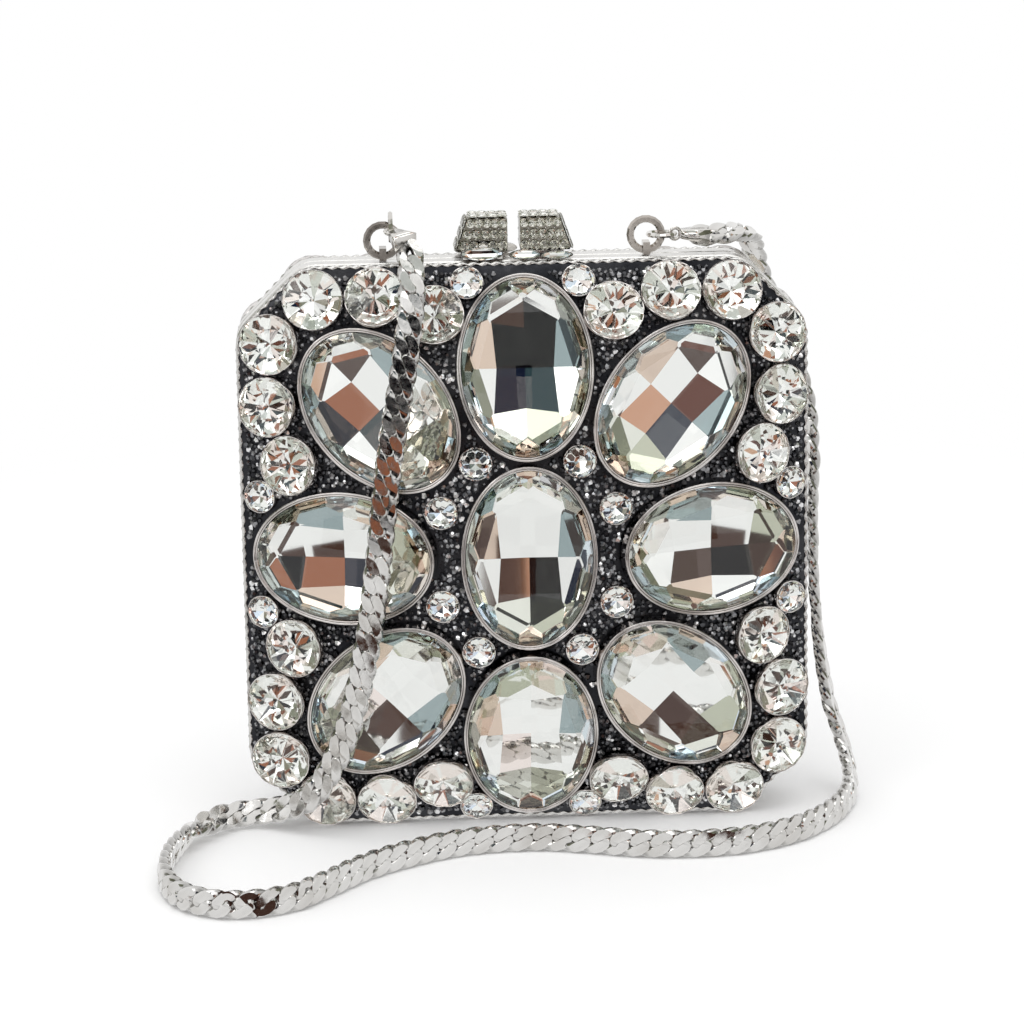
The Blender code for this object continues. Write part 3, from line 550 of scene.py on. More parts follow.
def dress_mesh(name: str, mesh: Mesh, body: str, slot: str, *materials: Material,
               replaces: str = "") -> bpy.types.Object:
    """Link a mesh as a finished piece.

    Args:
        name: The piece's name.
        mesh: Its mesh, in the object's frame.
        body: The CAD body that it rides on.
        slot: The record's material slot; not used.
        *materials: Its materials, in slot order; none keeps the mesh's own.
        replaces: The CAD node that it stands for, if any.

    Returns:
        The piece.
    """
    for material in materials:
        mesh.materials.append(material)
    piece = link_object(name, mesh)
    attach(piece, body)
    if replaces:
        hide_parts(replaces)
    LOG.info("%s: %d faces on %s", name, len(mesh.polygons), body)
    return piece


def repaint(node: str, material: Material) -> None:
    """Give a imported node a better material."""
    for place in bpy.data.objects[node].material_slots:
        place.material = material


def soften(node: str, name: str, slot: str, reach: float, material: Material) -> None:
    """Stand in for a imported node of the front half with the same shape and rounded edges.

    Args:
        node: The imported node's name.
        name: The piece's name.
        slot: The record's material slot.
        reach: How far each rounded edge runs onto its faces.
        material: The material.
    """
    packed = bpy.data.objects[node]
    shape = bmesh.new()
    shape.from_mesh(packed.data)
    shape.transform(packed.matrix_world)
    bmesh.ops.remove_doubles(shape, verts=shape.verts, dist=0.01 * MM)
    bmesh.ops.dissolve_limit(shape, angle_limit=math.radians(3.0), verts=shape.verts, edges=shape.edges)
    bent = [e for e in shape.edges if len(e.link_faces) == 2 and e.calc_face_angle() > math.radians(60.0)]
    bmesh.ops.bevel(shape, geom=bent, offset=reach, segments=3, affect="EDGES", clamp_overlap=True)
    bmesh.ops.triangulate(shape, faces=[f for f in shape.faces if len(f.verts) > 4])
    mesh = shaded(to_mesh(shape, name, outward=False), 50.0)
    dress_mesh(name, mesh, "front_half", slot, material, replaces=node)


@dataclass(frozen=True)
class FacetRow:
    """One row of flat facets of a cut stone, as cutting planes round its axis."""

    count: int
    slope_deg: float
    radius: float
    height: float
    turn: float = 0.0
    under: bool = False

    def planes(self) -> list[tuple[Vector, Vector]]:
        """The (point, outward normal) pairs of the row's facets."""
        slope = math.radians(self.slope_deg)
        way = Vector((0.0, 0.0, (-1.0 if self.under else 1.0) * math.cos(slope)))
        flats = [Vector((math.cos(angle), math.sin(angle), 0.0)) for angle in angles(self.count, self.turn)]
        middle = Vector((0.0, 0.0, self.height))
        return [(flat * self.radius + middle, flat * math.sin(slope) + way) for flat in flats]


@dataclass(frozen=True)
class StoneCut:
    """A stone cut from a round blank by planes, in units of its radius.

    Each facet has a tint of the silvering. Most are plain silver, a few carry painted glints of split light,
    and some near the rim carry painted reflections of the setting.
    """

    name: str
    table_height: float
    rows: tuple[FacetRow, ...]
    sides: int
    tint_seed: int
    rim: tuple[Colour, ...]
    rim_share: float = 0.62
    plain: Colour = (0.95, 0.955, 0.935)
    split_light: tuple[tuple[int, Colour], ...] = (
        (3, (0.74, 0.84, 0.96)), (9, (0.95, 0.93, 0.78)), (15, (0.93, 0.84, 0.8)), (18, (0.62, 0.67, 0.65)))

    def build(self) -> Mesh:
        """Cut the blank.

        Returns:
            A mesh of radius 1, with crystal above the girdle, foil below it and a tint on each face.
        """
        shape = bmesh.new()
        bmesh.ops.create_cone(shape, cap_ends=True, segments=self.sides, radius1=1.0, radius2=1.0, depth=2.0,
                              matrix=Matrix.Rotation(math.pi / self.sides, 4, "Z"))
        kind = shape.faces.layers.int.new("kind")
        cuts = [(Vector((0.0, 0.0, self.table_height)), Vector((0.0, 0.0, 1.0)), Facet.CRYSTAL)]
        for row in self.rows:
            cuts += [(*plane, Facet.FOIL if row.under else Facet.CRYSTAL) for plane in row.planes()]
        for point, normal, facet in cuts:
            bmesh.ops.bisect_plane(shape, geom=[*shape.verts, *shape.edges, *shape.faces], plane_co=point,
                                   plane_no=normal, dist=1e-6, clear_outer=True)
            edges = [e for e in shape.edges if e.is_boundary]
            if edges:
                for face in bmesh.ops.holes_fill(shape, edges=edges, sides=0)["faces"]:
                    face[kind] = facet.value
        bmesh.ops.remove_doubles(shape, verts=shape.verts, dist=1e-4)
        bmesh.ops.dissolve_degenerate(shape, edges=shape.edges, dist=1e-4)
        bmesh.ops.recalc_face_normals(shape, faces=shape.faces)
        tint = shape.faces.layers.float_color.new(TINT_AND_REFLECTION_LAYER)
        faces = sorted(shape.faces, key=lambda f: tuple(round(c, 4) for c in f.calc_center_median()))
        for i, face in enumerate(faces):
            face[tint] = opaque(self.tint(i, face.calc_center_median().xy.length))
            face.material_index = face[kind]
            face.smooth = False
        return to_mesh(shape, self.name, outward=False)

    def tint(self, index: int, out: float) -> Colour:
        """The tint of a facet, from its number and the distance of its middle from the stone's axis: plain
        silver, a painted glint, or a painted reflection of the setting.
        """
        step = (index * 37 + self.tint_seed * 11) % 23
        if out > self.rim_share and step < 2 * len(self.rim):
            return self.rim[step // 2]
        return dict(self.split_light).get(step, self.plain)


# Each cut's rim colours are painted reflections of the setting; on the post cut they may fall on any facet.
STONE_CUTS = {
    "oval": StoneCut("oval_cut", 0.126, (
        FacetRow(16, 27.0, 1.0, 0.0), FacetRow(8, 17.0, 0.86, 0.071, 0.5),
        FacetRow(16, 19.0, 1.0, -0.03, 0.0, True), FacetRow(8, 12.0, 0.86, -0.078, 0.5, True),
        FacetRow(4, 7.5, 0.58, -0.138, 0.5, True)), 48, 1, (
            (0.55, 0.57, 0.46), (0.36, 0.44, 0.45), (0.78, 0.79, 0.72), (0.74, 0.6, 0.5), (0.42, 0.44, 0.4),
            (0.78, 0.86, 0.94))),
    "rivoli": StoneCut("rivoli_cut", 0.5, (
        FacetRow(16, 30.0, 1.0, 0.0, 0.5), FacetRow(12, 13.0, 0.9, 0.055),
        FacetRow(12, 20.0, 1.0, -0.03, 0.0, True)), 32, 4, (
            (0.75, 0.76, 0.68), (0.6, 0.62, 0.56), (0.92, 0.84, 0.8), (0.72, 0.78, 0.78))),
    "chaton": StoneCut("chaton_cut", 0.26, (
        FacetRow(16, 30.0, 1.0, 0.0), FacetRow(8, 20.0, 0.84, 0.092, 0.5),
        FacetRow(16, 27.0, 1.0, -0.04, 0.0, True), FacetRow(8, 18.0, 0.84, -0.122, 0.5, True)), 32, 7, (
            (0.7, 0.5, 0.44), (0.3, 0.32, 0.36), (0.8, 0.8, 0.76), (0.45, 0.46, 0.44))),
    "post": StoneCut("post_cut", 0.3, (
        FacetRow(8, 32.0, 1.0, 0.05), FacetRow(8, 30.0, 1.0, -0.03, 0.5, True)), 16, 3, (
            (0.98, 0.97, 0.93), (0.24, 0.23, 0.2), (0.85, 0.62, 0.5), (0.95, 0.96, 0.97), (0.33, 0.34, 0.28)),
        0.0, (0.86, 0.85, 0.8)),
}


class ShapeTree(Nodes):
    """A Geometry Nodes tree under construction, with named inputs."""

    def __init__(self, name: str, inputs: dict[str, str]) -> None:
        """Start the tree with a Geometry input and output.

        Args:
            name: The tree's name.
            inputs: The kind of each further input by its name, such as Float.
        """
        super().__init__(bpy.data.node_groups.new(name, "GeometryNodeTree"))
        sockets = self.tree.interface
        sockets.new_socket(name="Geometry", in_out="OUTPUT", socket_type="NodeSocketGeometry")
        for title, kind in {"Geometry": "Geometry", **inputs, "Material": "Material"}.items():
            sockets.new_socket(name=title, in_out="INPUT", socket_type="NodeSocket" + kind)
        self.entry = self.node("NodeGroupInput").outputs

    def close(self, source: object) -> bpy.types.NodeTree:
        """Realize the instances of the source, set the material and end the tree."""
        realize = self.node("GeometryNodeRealizeInstances", {"Geometry": source})
        paint = self.node("GeometryNodeSetMaterial",
                          {"Geometry": realize, "Material": self.entry["Material"]})
        self.node("NodeGroupOutput", {"Geometry": paint})
        return self.tree


def scatter_tree() -> bpy.types.NodeTree:
    """Build the tree that scatters small stones over a surface, each with a shade of its own."""
    nodes = ShapeTree("scatter_stones", {"Stone": "Object", "Spacing": "Float", "Smallest": "Float",
                                         "Largest": "Float", "Lean": "Float", "Seed": "Int"})
    entry = nodes.entry
    points = nodes.node("GeometryNodeDistributePointsOnFaces",
                        {"Mesh": entry["Geometry"], "Distance Min": entry["Spacing"], "Seed": entry["Seed"]},
                        {"Density Max": 3.0e6}, distribute_method="POISSON")
    stone = nodes.node("GeometryNodeObjectInfo", {"Object": entry["Stone"]})
    lean_low = nodes.node("ShaderNodeMath", {0: entry["Lean"]}, {1: -1.0}, operation="MULTIPLY")
    low = nodes.node("ShaderNodeCombineXYZ", {"X": lean_low, "Y": lean_low})
    high = nodes.node("ShaderNodeCombineXYZ", {"X": entry["Lean"], "Y": entry["Lean"]}, {"Z": FULL_TURN})
    turn = nodes.node("FunctionNodeRandomValue", {"Seed": entry["Seed"], "Min": low, "Max": high},
                      data_type="FLOAT_VECTOR")
    rotation = nodes.node("FunctionNodeRotateRotation", {
        "Rotation": points.outputs["Rotation"], "Rotate By": turn.outputs["Value"]}, rotation_space="LOCAL")
    size = nodes.node("FunctionNodeRandomValue", {2: entry["Smallest"], 3: entry["Largest"]}, {"Seed": 5})
    placed = nodes.node("GeometryNodeInstanceOnPoints", {
        "Points": points, "Instance": stone.outputs["Geometry"], "Rotation": rotation,
        "Scale": size.outputs[1]})
    shade = nodes.node("FunctionNodeRandomValue", None, {"Seed": 9})
    kept = nodes.node("GeometryNodeStoreNamedAttribute", {"Geometry": placed, "Value": shade.outputs[1]},
                      {"Name": SHADE_LAYER}, data_type="FLOAT", domain="INSTANCE")
    return nodes.close(kept)


def setting_tree() -> bpy.types.NodeTree:
    """Build the tree that sets one shape at each point, with its X along "along" and its Z towards "out"."""
    nodes = ShapeTree("set_at_points", {"Shape": "Object"})
    entry = nodes.entry
    along, out, size = (
        nodes.node("GeometryNodeInputNamedAttribute", None, {"Name": name}, data_type="FLOAT_VECTOR")
        .outputs["Attribute"] for name in ("along", "out", "size"))
    shape = nodes.node("GeometryNodeObjectInfo", {"Object": entry["Shape"]})
    first = nodes.node("FunctionNodeAlignRotationToVector", {"Vector": along}, axis="X")
    second = nodes.node("FunctionNodeAlignRotationToVector", {"Rotation": first, "Vector": out},
                        axis="Z", pivot_axis="X")
    placed = nodes.node("GeometryNodeInstanceOnPoints", {
        "Points": entry["Geometry"], "Instance": shape.outputs["Geometry"], "Rotation": second,
        "Scale": size})
    return nodes.close(placed)


def rope_tree() -> bpy.types.NodeTree:
    """Build the tree that winds a twisted wire along a closed line of edges."""
    nodes = ShapeTree("twisted_wire", dict.fromkeys(
        ("Radius", "Flatness", "Step", "Turn per Step"), "Float"))
    entry = nodes.entry
    line = nodes.node("GeometryNodeMeshToCurve", {"Mesh": entry["Geometry"]})
    even = nodes.node("GeometryNodeResampleCurve", {"Curve": line, "Length": entry["Step"]}, mode="LENGTH")
    index = nodes.node("GeometryNodeInputIndex")
    tilt = nodes.node("ShaderNodeMath", {0: index, 1: entry["Turn per Step"]}, operation="MULTIPLY")
    wound = nodes.node("GeometryNodeSetCurveTilt", {"Curve": even, "Tilt": tilt})
    circle = nodes.node("GeometryNodeCurvePrimitiveCircle", {"Radius": entry["Radius"]}, {"Resolution": 8})
    flat = nodes.node("ShaderNodeCombineXYZ", {"Y": entry["Flatness"]}, {"X": 1.0, "Z": 1.0})
    oval = nodes.node("GeometryNodeTransform", {"Geometry": circle, "Scale": flat})
    return nodes.close(nodes.node("GeometryNodeCurveToMesh", {"Curve": wound, "Profile Curve": oval}))


class Workshop:
    """The finishes, the cut stones and the node trees, each built once."""

    def __init__(self) -> None:
        """Build them all."""
        self.finishes = Finishes()
        self.stone = (self.finishes.crystal, self.finishes.foil)
        self.scatter = scatter_tree()
        self.setting = setting_tree()
        self.rope = rope_tree()
        self.cuts = {name: cut.build() for name, cut in STONE_CUTS.items()}

    def run(self, tree: bpy.types.NodeTree, base: Mesh, material: Material,
            values: dict[str, object]) -> Mesh:
        """Run a tree on a base mesh.

        Args:
            tree: The tree.
            base: The mesh that it starts from.
            material: The material of what it makes.
            values: Its other inputs by name; a mesh goes in as an object.

        Returns:
            The plain mesh that comes out.
        """
        items = [link_object("node_base", base)]
        modifier = items[0].modifiers.new("nodes", "NODES")
        modifier.node_group = tree
        names = {item.name: item.identifier for item in tree.interface.items_tree if item.in_out == "INPUT"}
        for name, value in {**values, "Material": material}.items():
            if isinstance(value, Mesh):
                value = link_object("node_shape", value)
                items.append(value)
            modifier[names[name]] = value
        graph = bpy.context.evaluated_depsgraph_get()
        mesh = bpy.data.meshes.new_from_object(items[0].evaluated_get(graph))
        for item in items:
            bpy.data.objects.remove(item, do_unlink=True)
        return mesh

    def set_shapes(self, shape: Mesh, spots: Sequence[Spot], material: Material) -> Mesh:
        """Set a shape at a list of places.

        Args:
            shape: The shape, about its own origin.
            spots: (place, along, out, size) of each copy.
            material: The material of the copies.

        Returns:
            One plain mesh of all copies.
        """
        base = bpy.data.meshes.new("spots")
        base.from_pydata([spot[0] for spot in spots], [], [])
        for name, index in (("along", 1), ("out", 2), ("size", 3)):
            layer = base.attributes.new(name, "FLOAT_VECTOR", "POINT")
            layer.data.foreach_set("vector", [c for spot in spots for c in spot[index]])
        return self.run(self.setting, base, material, {"Shape": shape})


@dataclass(frozen=True)
class OvalPlace:
    """One oval stone's name and place on a face, from the middle of the case."""

    name: str
    x: float
    z: float
    turn_deg: float = 0.0


OVAL_PLACES = tuple(OvalPlace(name, x * MM, z * MM, turn) for name, x, z, turn in (
    ("centre", 0.0, 0.0, 0.0), ("top", 0.0, 42.9, 0.0), ("bottom", 0.0, -42.9, 0.0),
    ("left", -41.9, 0.0, 90.0), ("right", 41.9, 0.0, 90.0),
    ("upper_left", -33.1, 33.9, 45.0), ("upper_right", 33.1, 33.9, -45.0),
    ("lower_left", -33.1, -33.9, -45.0), ("lower_right", 33.1, -33.9, 45.0)))
CORNERS = (
    ("upper_left", -1.0, 1.0), ("upper_right", 1.0, 1.0), ("lower_left", -1.0, -1.0),
    ("lower_right", 1.0, -1.0))
POST_MIDDLE = -1.5 * MM


@dataclass
class HalfCase:
    """One half of the case: shell, bezels, stones, fine stones, band and lining."""

    side: Side
    form: CaseForm
    shop: Workshop
    oval_half_width: float = 15.6 * MM
    oval_half_length: float = 21.5 * MM
    oval_gap: float = 0.12 * MM
    oval_girdle: float = 1.45 * MM
    oval_tilt_share: float = 1.12
    hole_heights: tuple[float, float] = (-16.0 * MM, 6.0 * MM)
    hole_sides: int = 48
    bezel_wall: float = 1.0 * MM
    bezel_rise: float = 1.9 * MM
    bezel_sink: float = 1.2 * MM
    bezel_steps: int = 88
    rivoli_radius: float = 6.95 * MM
    rivoli_cup_height: float = 3.1 * MM
    rivoli_foot: float = -0.3 * MM
    rivoli_drop: float = 0.1 * MM
    rivoli_overlap: float = 1.3 * MM
    rivoli_wall: float = 0.24 * MM
    rivoli_claws: int = 14
    rivoli_tilt_share: float = 1.45
    rivoli_turns: tuple[float, float] = (211.0, 97.0)
    rivoli_shares: Pairs = (
        (0.310, 0.821), (0.511, 0.884), (0.724, 0.882), (0.875, 0.738), (0.882, 0.524), (0.811, 0.324))
    chaton_radius: float = 3.9 * MM
    chaton_fit: float = 0.92
    chaton_foot: float = -0.6 * MM
    chaton_lift: float = 1.45 * MM
    chaton_rise: float = 1.5 * MM
    chaton_wall: float = 0.3 * MM
    chaton_claws: int = 8
    chaton_shares: Pairs = ((0.194, 0.930), (0.924, 0.206), (0.180, 0.332), (0.302, 0.165))
    edge_stones: tuple[Point, ...] = (
        (-8.9 * MM, 4.6 * MM, 1.45 * MM), (0.9 * MM, 3.4 * MM, 1.1 * MM), (8.2 * MM, 3.5 * MM, 0.85 * MM))
    edge_stone_depth: float = 5.95 * MM
    edge_stone_lean_deg: float = -14.0
    edge_stone_gap: float = 0.25 * MM
    edge_stone_scale: float = 2.0 * MM
    plate_scales: tuple[float, float] = (1.06, 1.1)
    plate_depths_mm: tuple[float, float] = (0.75, 0.45)
    ring_shares: tuple[float, ...] = (0.975, 0.94, 0.89, 0.82, 0.74, 0.64, 0.53, 0.41, 0.28, 0.14)
    grid_step: float = 0.9 * MM
    bare_rim: float = 1.9 * MM
    bare_corner: float = 2.2 * MM
    bare_oval: float = 0.5 * MM
    fine_radii: tuple[float, float] = (0.85 * MM, 0.4 * MM)
    fine_height: float = 0.7 * MM
    fine_lift: float = 0.2 * MM
    fine_spacing: float = 0.95 * MM
    fine_scales: tuple[float, float] = (0.6, 1.05)
    fine_lean: float = 0.8
    wire_radius: float = 0.62 * MM
    wire_flatness: float = 0.5
    wire_step: float = 0.3 * MM
    wire_turn: float = 0.36
    wire_inset: float = 0.25 * MM
    wire_sink: float = 0.35 * MM
    band_bevel: float = 0.35 * MM
    hinge_notch: Point = (114.0 * MM, 4.7 * MM, 8.6 * MM)

    def name(self, rest: str) -> str:
        """The name of a piece of this half."""
        return f"{self.side.label}_{rest}"

    def dress(self, name: str, mesh: Mesh, slot: str, *materials: Material, replaces: str = "") -> None:
        """Link a mesh as a finished piece of this half.

        Args:
            name: The piece's name, without the half's.
            mesh: Its mesh.
            slot: The record's material slot.
            *materials: Its materials, in slot order.
            replaces: The node that it stands for, without the half's name.
        """
        node = self.name(replaces) if replaces else ""
        dress_mesh(self.name(name), mesh, self.side.body, slot, *materials, replaces=node)

    def set_stones(self, name: str, cut: str, places: Sequence[Matrix], slot: str,
                   replaces: str = "") -> None:
        """Set copies of a cut stone as one piece.

        Args:
            name: The piece's name, without the half's.
            cut: The name of the cut.
            places: The matrix of each stone.
            slot: The record's material slot.
            replaces: The node that it stands for, without the half's name.
        """
        mesh = join_copies(self.shop.cuts[cut], places, self.name(name))
        self.dress(name, mesh, slot, *self.shop.stone, replaces=replaces)

    def oval_frame(self, place: OvalPlace) -> Matrix:
        """The frame of one oval; seen from behind, the turns run the other way."""
        turn = math.radians(place.turn_deg) * -self.side.value
        return self.form.frame(self.side, place.x, place.z, self.oval_tilt_share, turn)

    def corner_spots(self, shares: Pairs, x_sign: float, z_sign: float) -> list[tuple[float, float]]:
        """The (x, z) places of one corner's stones."""
        return [(x * x_sign * self.form.half_width, z * z_sign * self.form.half_height) for x, z in shares]

    def ring(self, shape: BMesh, share: float, inset: float, depth: Callable[[float, float], float],
             steps: int = 6) -> list[bmesh.types.BMVert]:
        """Add a ring of vertices: the outline scaled by a share.

        Args:
            shape: The mesh to add to.
            share: Scale of the outline about the middle.
            inset: How far the outline is drawn in first.
            depth: Gives the distance from the seam at (x, z).
            steps: Points of each bend of a corner.

        Returns:
            The vertices.
        """
        spots = [(x * share, z * share) for x, z in self.form.outline(inset, steps)]
        return [shape.verts.new(self.form.point(self.side, x, z, depth(x, z))) for x, z in spots]

    def ground_depth(self, x: float, z: float) -> float:
        """Distance from the seam to the ground between the stones."""
        return self.form.edge + self.form.crown(x, z)

    def hollow_depth(self, x: float, z: float) -> float:
        """Distance from the seam to the shell's inner side."""
        form = self.form
        return form.seat + max(0.0, form.crown(x, z) - form.shell_wall + form.lip_depth)

    def build(self) -> None:
        """Make all pieces of the half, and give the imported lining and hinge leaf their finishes."""
        self.make_ground()
        self.make_bezels()
        self.make_ovals()
        self.make_rivolis()
        self.make_chatons()
        self.make_edge_stones()
        self.scatter_fine_stones()
        self.make_band()
        self.wind_edge_wire()
        repaint(self.name("lining"), self.shop.finishes.lining)
        repaint(self.name("hinge_leaf"), self.shop.finishes.hinge)

    def make_ground(self) -> None:
        """The black shell between the stones, with a hole under each oval."""
        form = self.form
        shape = bmesh.new()
        outer = [self.ring(shape, 1.0, form.lip_inset, lambda x, z: form.seat),
                 self.ring(shape, 1.0, form.lip_inset, lambda x, z: form.edge)]
        outer += [self.ring(shape, share, form.lip_inset, self.ground_depth) for share in self.ring_shares]
        inset = form.lip_inset + form.shell_wall
        inner = [self.ring(shape, 1.0, inset, lambda x, z: form.seat)]
        inner += [self.ring(shape, share, inset, self.hollow_depth) for share in self.ring_shares]
        for rings, depth in ((outer, self.ground_depth), (inner, self.hollow_depth)):
            for lower, upper in zip(rings, rings[1:]):
                strip(shape, lower, upper)
            middle = shape.verts.new(form.point(self.side, 0.0, 0.0, depth(0.0, 0.0)))
            last = rings[-1]
            for i, vert in enumerate(last):
                shape.faces.new((vert, last[(i + 1) % len(last)], middle))
        strip(shape, outer[0], inner[0])
        body = to_mesh(shape, "ground_blank")
        holes = bmesh.new()
        half_x = self.oval_half_width - self.bezel_wall * 0.5
        half_y = self.oval_half_length - self.bezel_wall * 0.5
        for place in OVAL_PLACES:
            frame = self.oval_frame(place)
            add_tube(holes, *([frame @ Vector((half_x * math.cos(a), half_y * math.sin(a), height))
                               for a in angles(self.hole_sides)] for height in self.hole_heights))
        mesh = shaded(boolean(body, to_mesh(holes, "ground_holes")), 35.0)
        self.dress("ground", mesh, "shell_metal", self.shop.finishes.ground, replaces="shell")

    def make_bezels(self) -> None:
        """The double-lipped bezels round the nine ovals."""
        def lip(out: float, up: float, radius: float, end: float, steps: int) -> list[tuple[float, float]]:
            """The round lip about (out, up), from 20 degrees below level to an end angle in degrees."""
            turns = [math.radians(-20.0 + (end + 20.0) * i / (steps - 1)) for i in range(steps)]
            return [(out + radius * math.cos(a), up + radius * math.sin(a)) for a in turns]

        rise, wall = self.bezel_rise, self.bezel_wall
        profile = [(0.0, -self.bezel_sink), *lip(-0.27 * MM, rise - 0.33 * MM, 0.29 * MM, 200.0, 8),
                   (-wall * 0.58, rise - 0.62 * MM),
                   *lip(-wall + 0.22 * MM, rise - 0.3 * MM, 0.2 * MM, 180.0, 6), (-wall, -self.bezel_sink)]
        shape = bmesh.new()
        for place in OVAL_PLACES:
            frame = self.oval_frame(place)

            def spot(angle: float, out: float, up: float, frame: Matrix = frame) -> Vector:
                """A point at a distance from the oval and a height over the shell."""
                x, y = self.oval_half_width * math.cos(angle), self.oval_half_length * math.sin(angle)
                away = Vector((x / self.oval_half_width ** 2, y / self.oval_half_length ** 2)).normalized()
                return frame @ Vector((x + away.x * out, y + away.y * out, up))

            sweep_ring(shape, profile, spot, self.bezel_steps)
        self.dress("bezels", shaded(to_mesh(shape, "bezels"), 50.0), "shell_metal", self.shop.finishes.bezel)

    def make_ovals(self) -> None:
        """The nine large faceted ovals."""
        half_x = self.oval_half_width - self.bezel_wall - self.oval_gap
        half_y = self.oval_half_length - self.bezel_wall - self.oval_gap
        size = Matrix.Diagonal((half_x, half_y, half_x, 1.0))
        seat = Matrix.Translation((0.0, 0.0, self.oval_girdle)) @ size
        for place in OVAL_PLACES:
            at = self.oval_frame(place) @ seat
            self.set_stones("crystal_" + place.name, "oval", [at], "oval_crystal", "oval_" + place.name)

    def add_cup(self, shape: BMesh, frame: Matrix, radius: float, foot: float, rim: float, wall: float,
                claws: int) -> None:
        """Add the thin cup of a round stone.

        Args:
            shape: The mesh to add to.
            frame: The cup's frame.
            radius: Its outer radius.
            foot: Height of its foot.
            rim: Height of its rim.
            wall: Thickness of its wall at the rim.
            claws: Number of scallops of its rim.
        """
        def spot(angle: float, out: float, up: float) -> Vector:
            """A point at a distance from the cup's wall and a height, lifted on the rim at each claw."""
            wave = 0.5 + 0.5 * math.cos(claws * angle)
            lift = up + (wall * 0.9 * wave if up > rim - wall else 0.0)
            reach = radius + out
            return frame @ Vector((reach * math.cos(angle), reach * math.sin(angle), lift))

        waist = foot + (rim - foot) * 0.45
        profile = [(-radius * 0.22, foot), (0.0, waist), (0.0, rim - wall * 0.5), (-wall * 0.35, rim),
                   (-wall * 0.8, rim), (-wall, rim - wall * 0.6), (-wall * 1.4, waist),
                   (-radius * 0.22 - wall, foot + wall * 0.5)]
        sweep_ring(shape, profile, spot, 48 if claws > self.chaton_claws else 36)

    def make_rivolis(self) -> None:
        """The four corner rows of round pointed stones in scalloped cups."""
        rise = self.rivoli_cup_height
        size = Matrix.Scale(self.rivoli_radius - self.rivoli_wall * 0.9, 4)
        turn_x, turn_z = self.rivoli_turns
        for corner, x_sign, z_sign in CORNERS:
            cups = bmesh.new()
            places = []
            for x, z in self.corner_spots(self.rivoli_shares, x_sign, z_sign):
                frame = self.form.frame(self.side, x, z, self.rivoli_tilt_share)
                self.add_cup(cups, frame, self.rivoli_radius, self.rivoli_foot, rise, self.rivoli_wall,
                             self.rivoli_claws)
                turn = Matrix.Rotation((x * turn_x + z * turn_z) / MM * 0.01, 4, "Z")
                places.append(frame @ Matrix.Translation((0.0, 0.0, rise - self.rivoli_drop)) @ turn @ size)
            self.dress("cups_" + corner, shaded(to_mesh(cups, "cups"), 40.0), "rivoli_crystal",
                       self.shop.finishes.bezel, replaces="rivolis_" + corner)
            self.set_stones("round_stones_" + corner, "rivoli", places, "rivoli_crystal")

    def make_chatons(self) -> None:
        """The sixteen small cut stones in claw cups."""
        cups = bmesh.new()
        places = []
        size = Matrix.Scale(self.chaton_radius * self.chaton_fit, 4)
        seat = Matrix.Translation((0.0, 0.0, self.chaton_lift)) @ size
        for _, x_sign, z_sign in CORNERS:
            for x, z in self.corner_spots(self.chaton_shares, x_sign, z_sign):
                frame = self.form.frame(self.side, x, z)
                self.add_cup(cups, frame, self.chaton_radius, self.chaton_foot, self.chaton_rise,
                             self.chaton_wall, self.chaton_claws)
                places.append(frame @ seat)
        self.dress("chaton_cups", shaded(to_mesh(cups, "cups"), 40.0), "shell_metal",
                   self.shop.finishes.bezel)
        self.set_stones("chatons", "chaton", places, "shell_metal")

    def make_edge_stones(self) -> None:
        """The three long clear stones on the front edge, below the posts, each on a thin plate."""
        plates = bmesh.new()
        places = []
        is_back = self.side is Side.BACK
        turn = Matrix.Rotation(math.pi if is_back else 0.0, 4, "Z") @ Matrix.Rotation(
            math.radians(90.0 + self.edge_stone_lean_deg), 4, "X")
        for x, half_long, half_tall in self.edge_stones:
            place_x = 2 * POST_MIDDLE - x if is_back else x
            rise = self.form.half_height + half_tall + self.edge_stone_gap
            at = Matrix.Translation(self.form.point(self.side, place_x, rise, self.edge_stone_depth)) @ turn
            places.append(at @ Matrix.Diagonal((half_long, half_tall, self.edge_stone_scale, 1.0)))
            long, tall = self.plate_scales[0] * half_long, self.plate_scales[1] * half_tall
            rim = [at @ Vector((long * math.cos(a), tall * math.sin(a), 0.0)) for a in angles(32)]
            back = at.to_3x3() @ Vector((0.0, 0.0, -1.0 * MM))
            add_tube(plates, *([point + back * share for point in rim] for share in self.plate_depths_mm))
        self.dress("edge_stone_plates", shaded(to_mesh(plates, "plates"), 40.0), "shell_metal",
                   self.shop.finishes.fitting)
        self.set_stones("edge_stones", "oval", places, "rivoli_crystal")

    def is_bare(self, x: float, z: float) -> bool:
        """Whether the ground shows at (x, z), clear of every stone and of the rim."""
        form = self.form
        if abs(x) > form.half_width - self.bare_rim or abs(z) > form.half_height - self.bare_rim:
            return False
        if abs(x) + abs(z) > form.half_width + form.half_height - form.corner_leg - self.bare_corner:
            return False
        for place in OVAL_PLACES:
            dx, dz = x - place.x, z - place.z
            lean = -math.radians(place.turn_deg)
            u = dx * math.cos(lean) - dz * math.sin(lean)
            v = dx * math.sin(lean) + dz * math.cos(lean)
            reach_u = self.oval_half_width + self.bare_oval
            reach_v = self.oval_half_length + self.bare_oval
            if math.hypot(u / reach_u, v / reach_v) < 1.0:
                return False
        return all(math.hypot(abs(x) - sx * form.half_width, abs(z) - sz * form.half_height) >= reach
                   for shares, reach in ((self.rivoli_shares, self.rivoli_radius - self.rivoli_overlap),
                                         (self.chaton_shares, self.chaton_radius)) for sx, sz in shares)

    def scatter_fine_stones(self) -> None:
        """Fine stones scattered all over the bare ground."""
        step = self.grid_step
        shape = bmesh.new()
        grid: dict[tuple[int, int], bmesh.types.BMVert] = {}

        def vert(i: int, j: int) -> bmesh.types.BMVert:
            """The grid's vertex (i, j), made when first asked for."""
            if (i, j) not in grid:
                x, z = i * step, j * step
                grid[(i, j)] = shape.verts.new(self.form.point(self.side, x, z, self.ground_depth(x, z)))
            return grid[(i, j)]

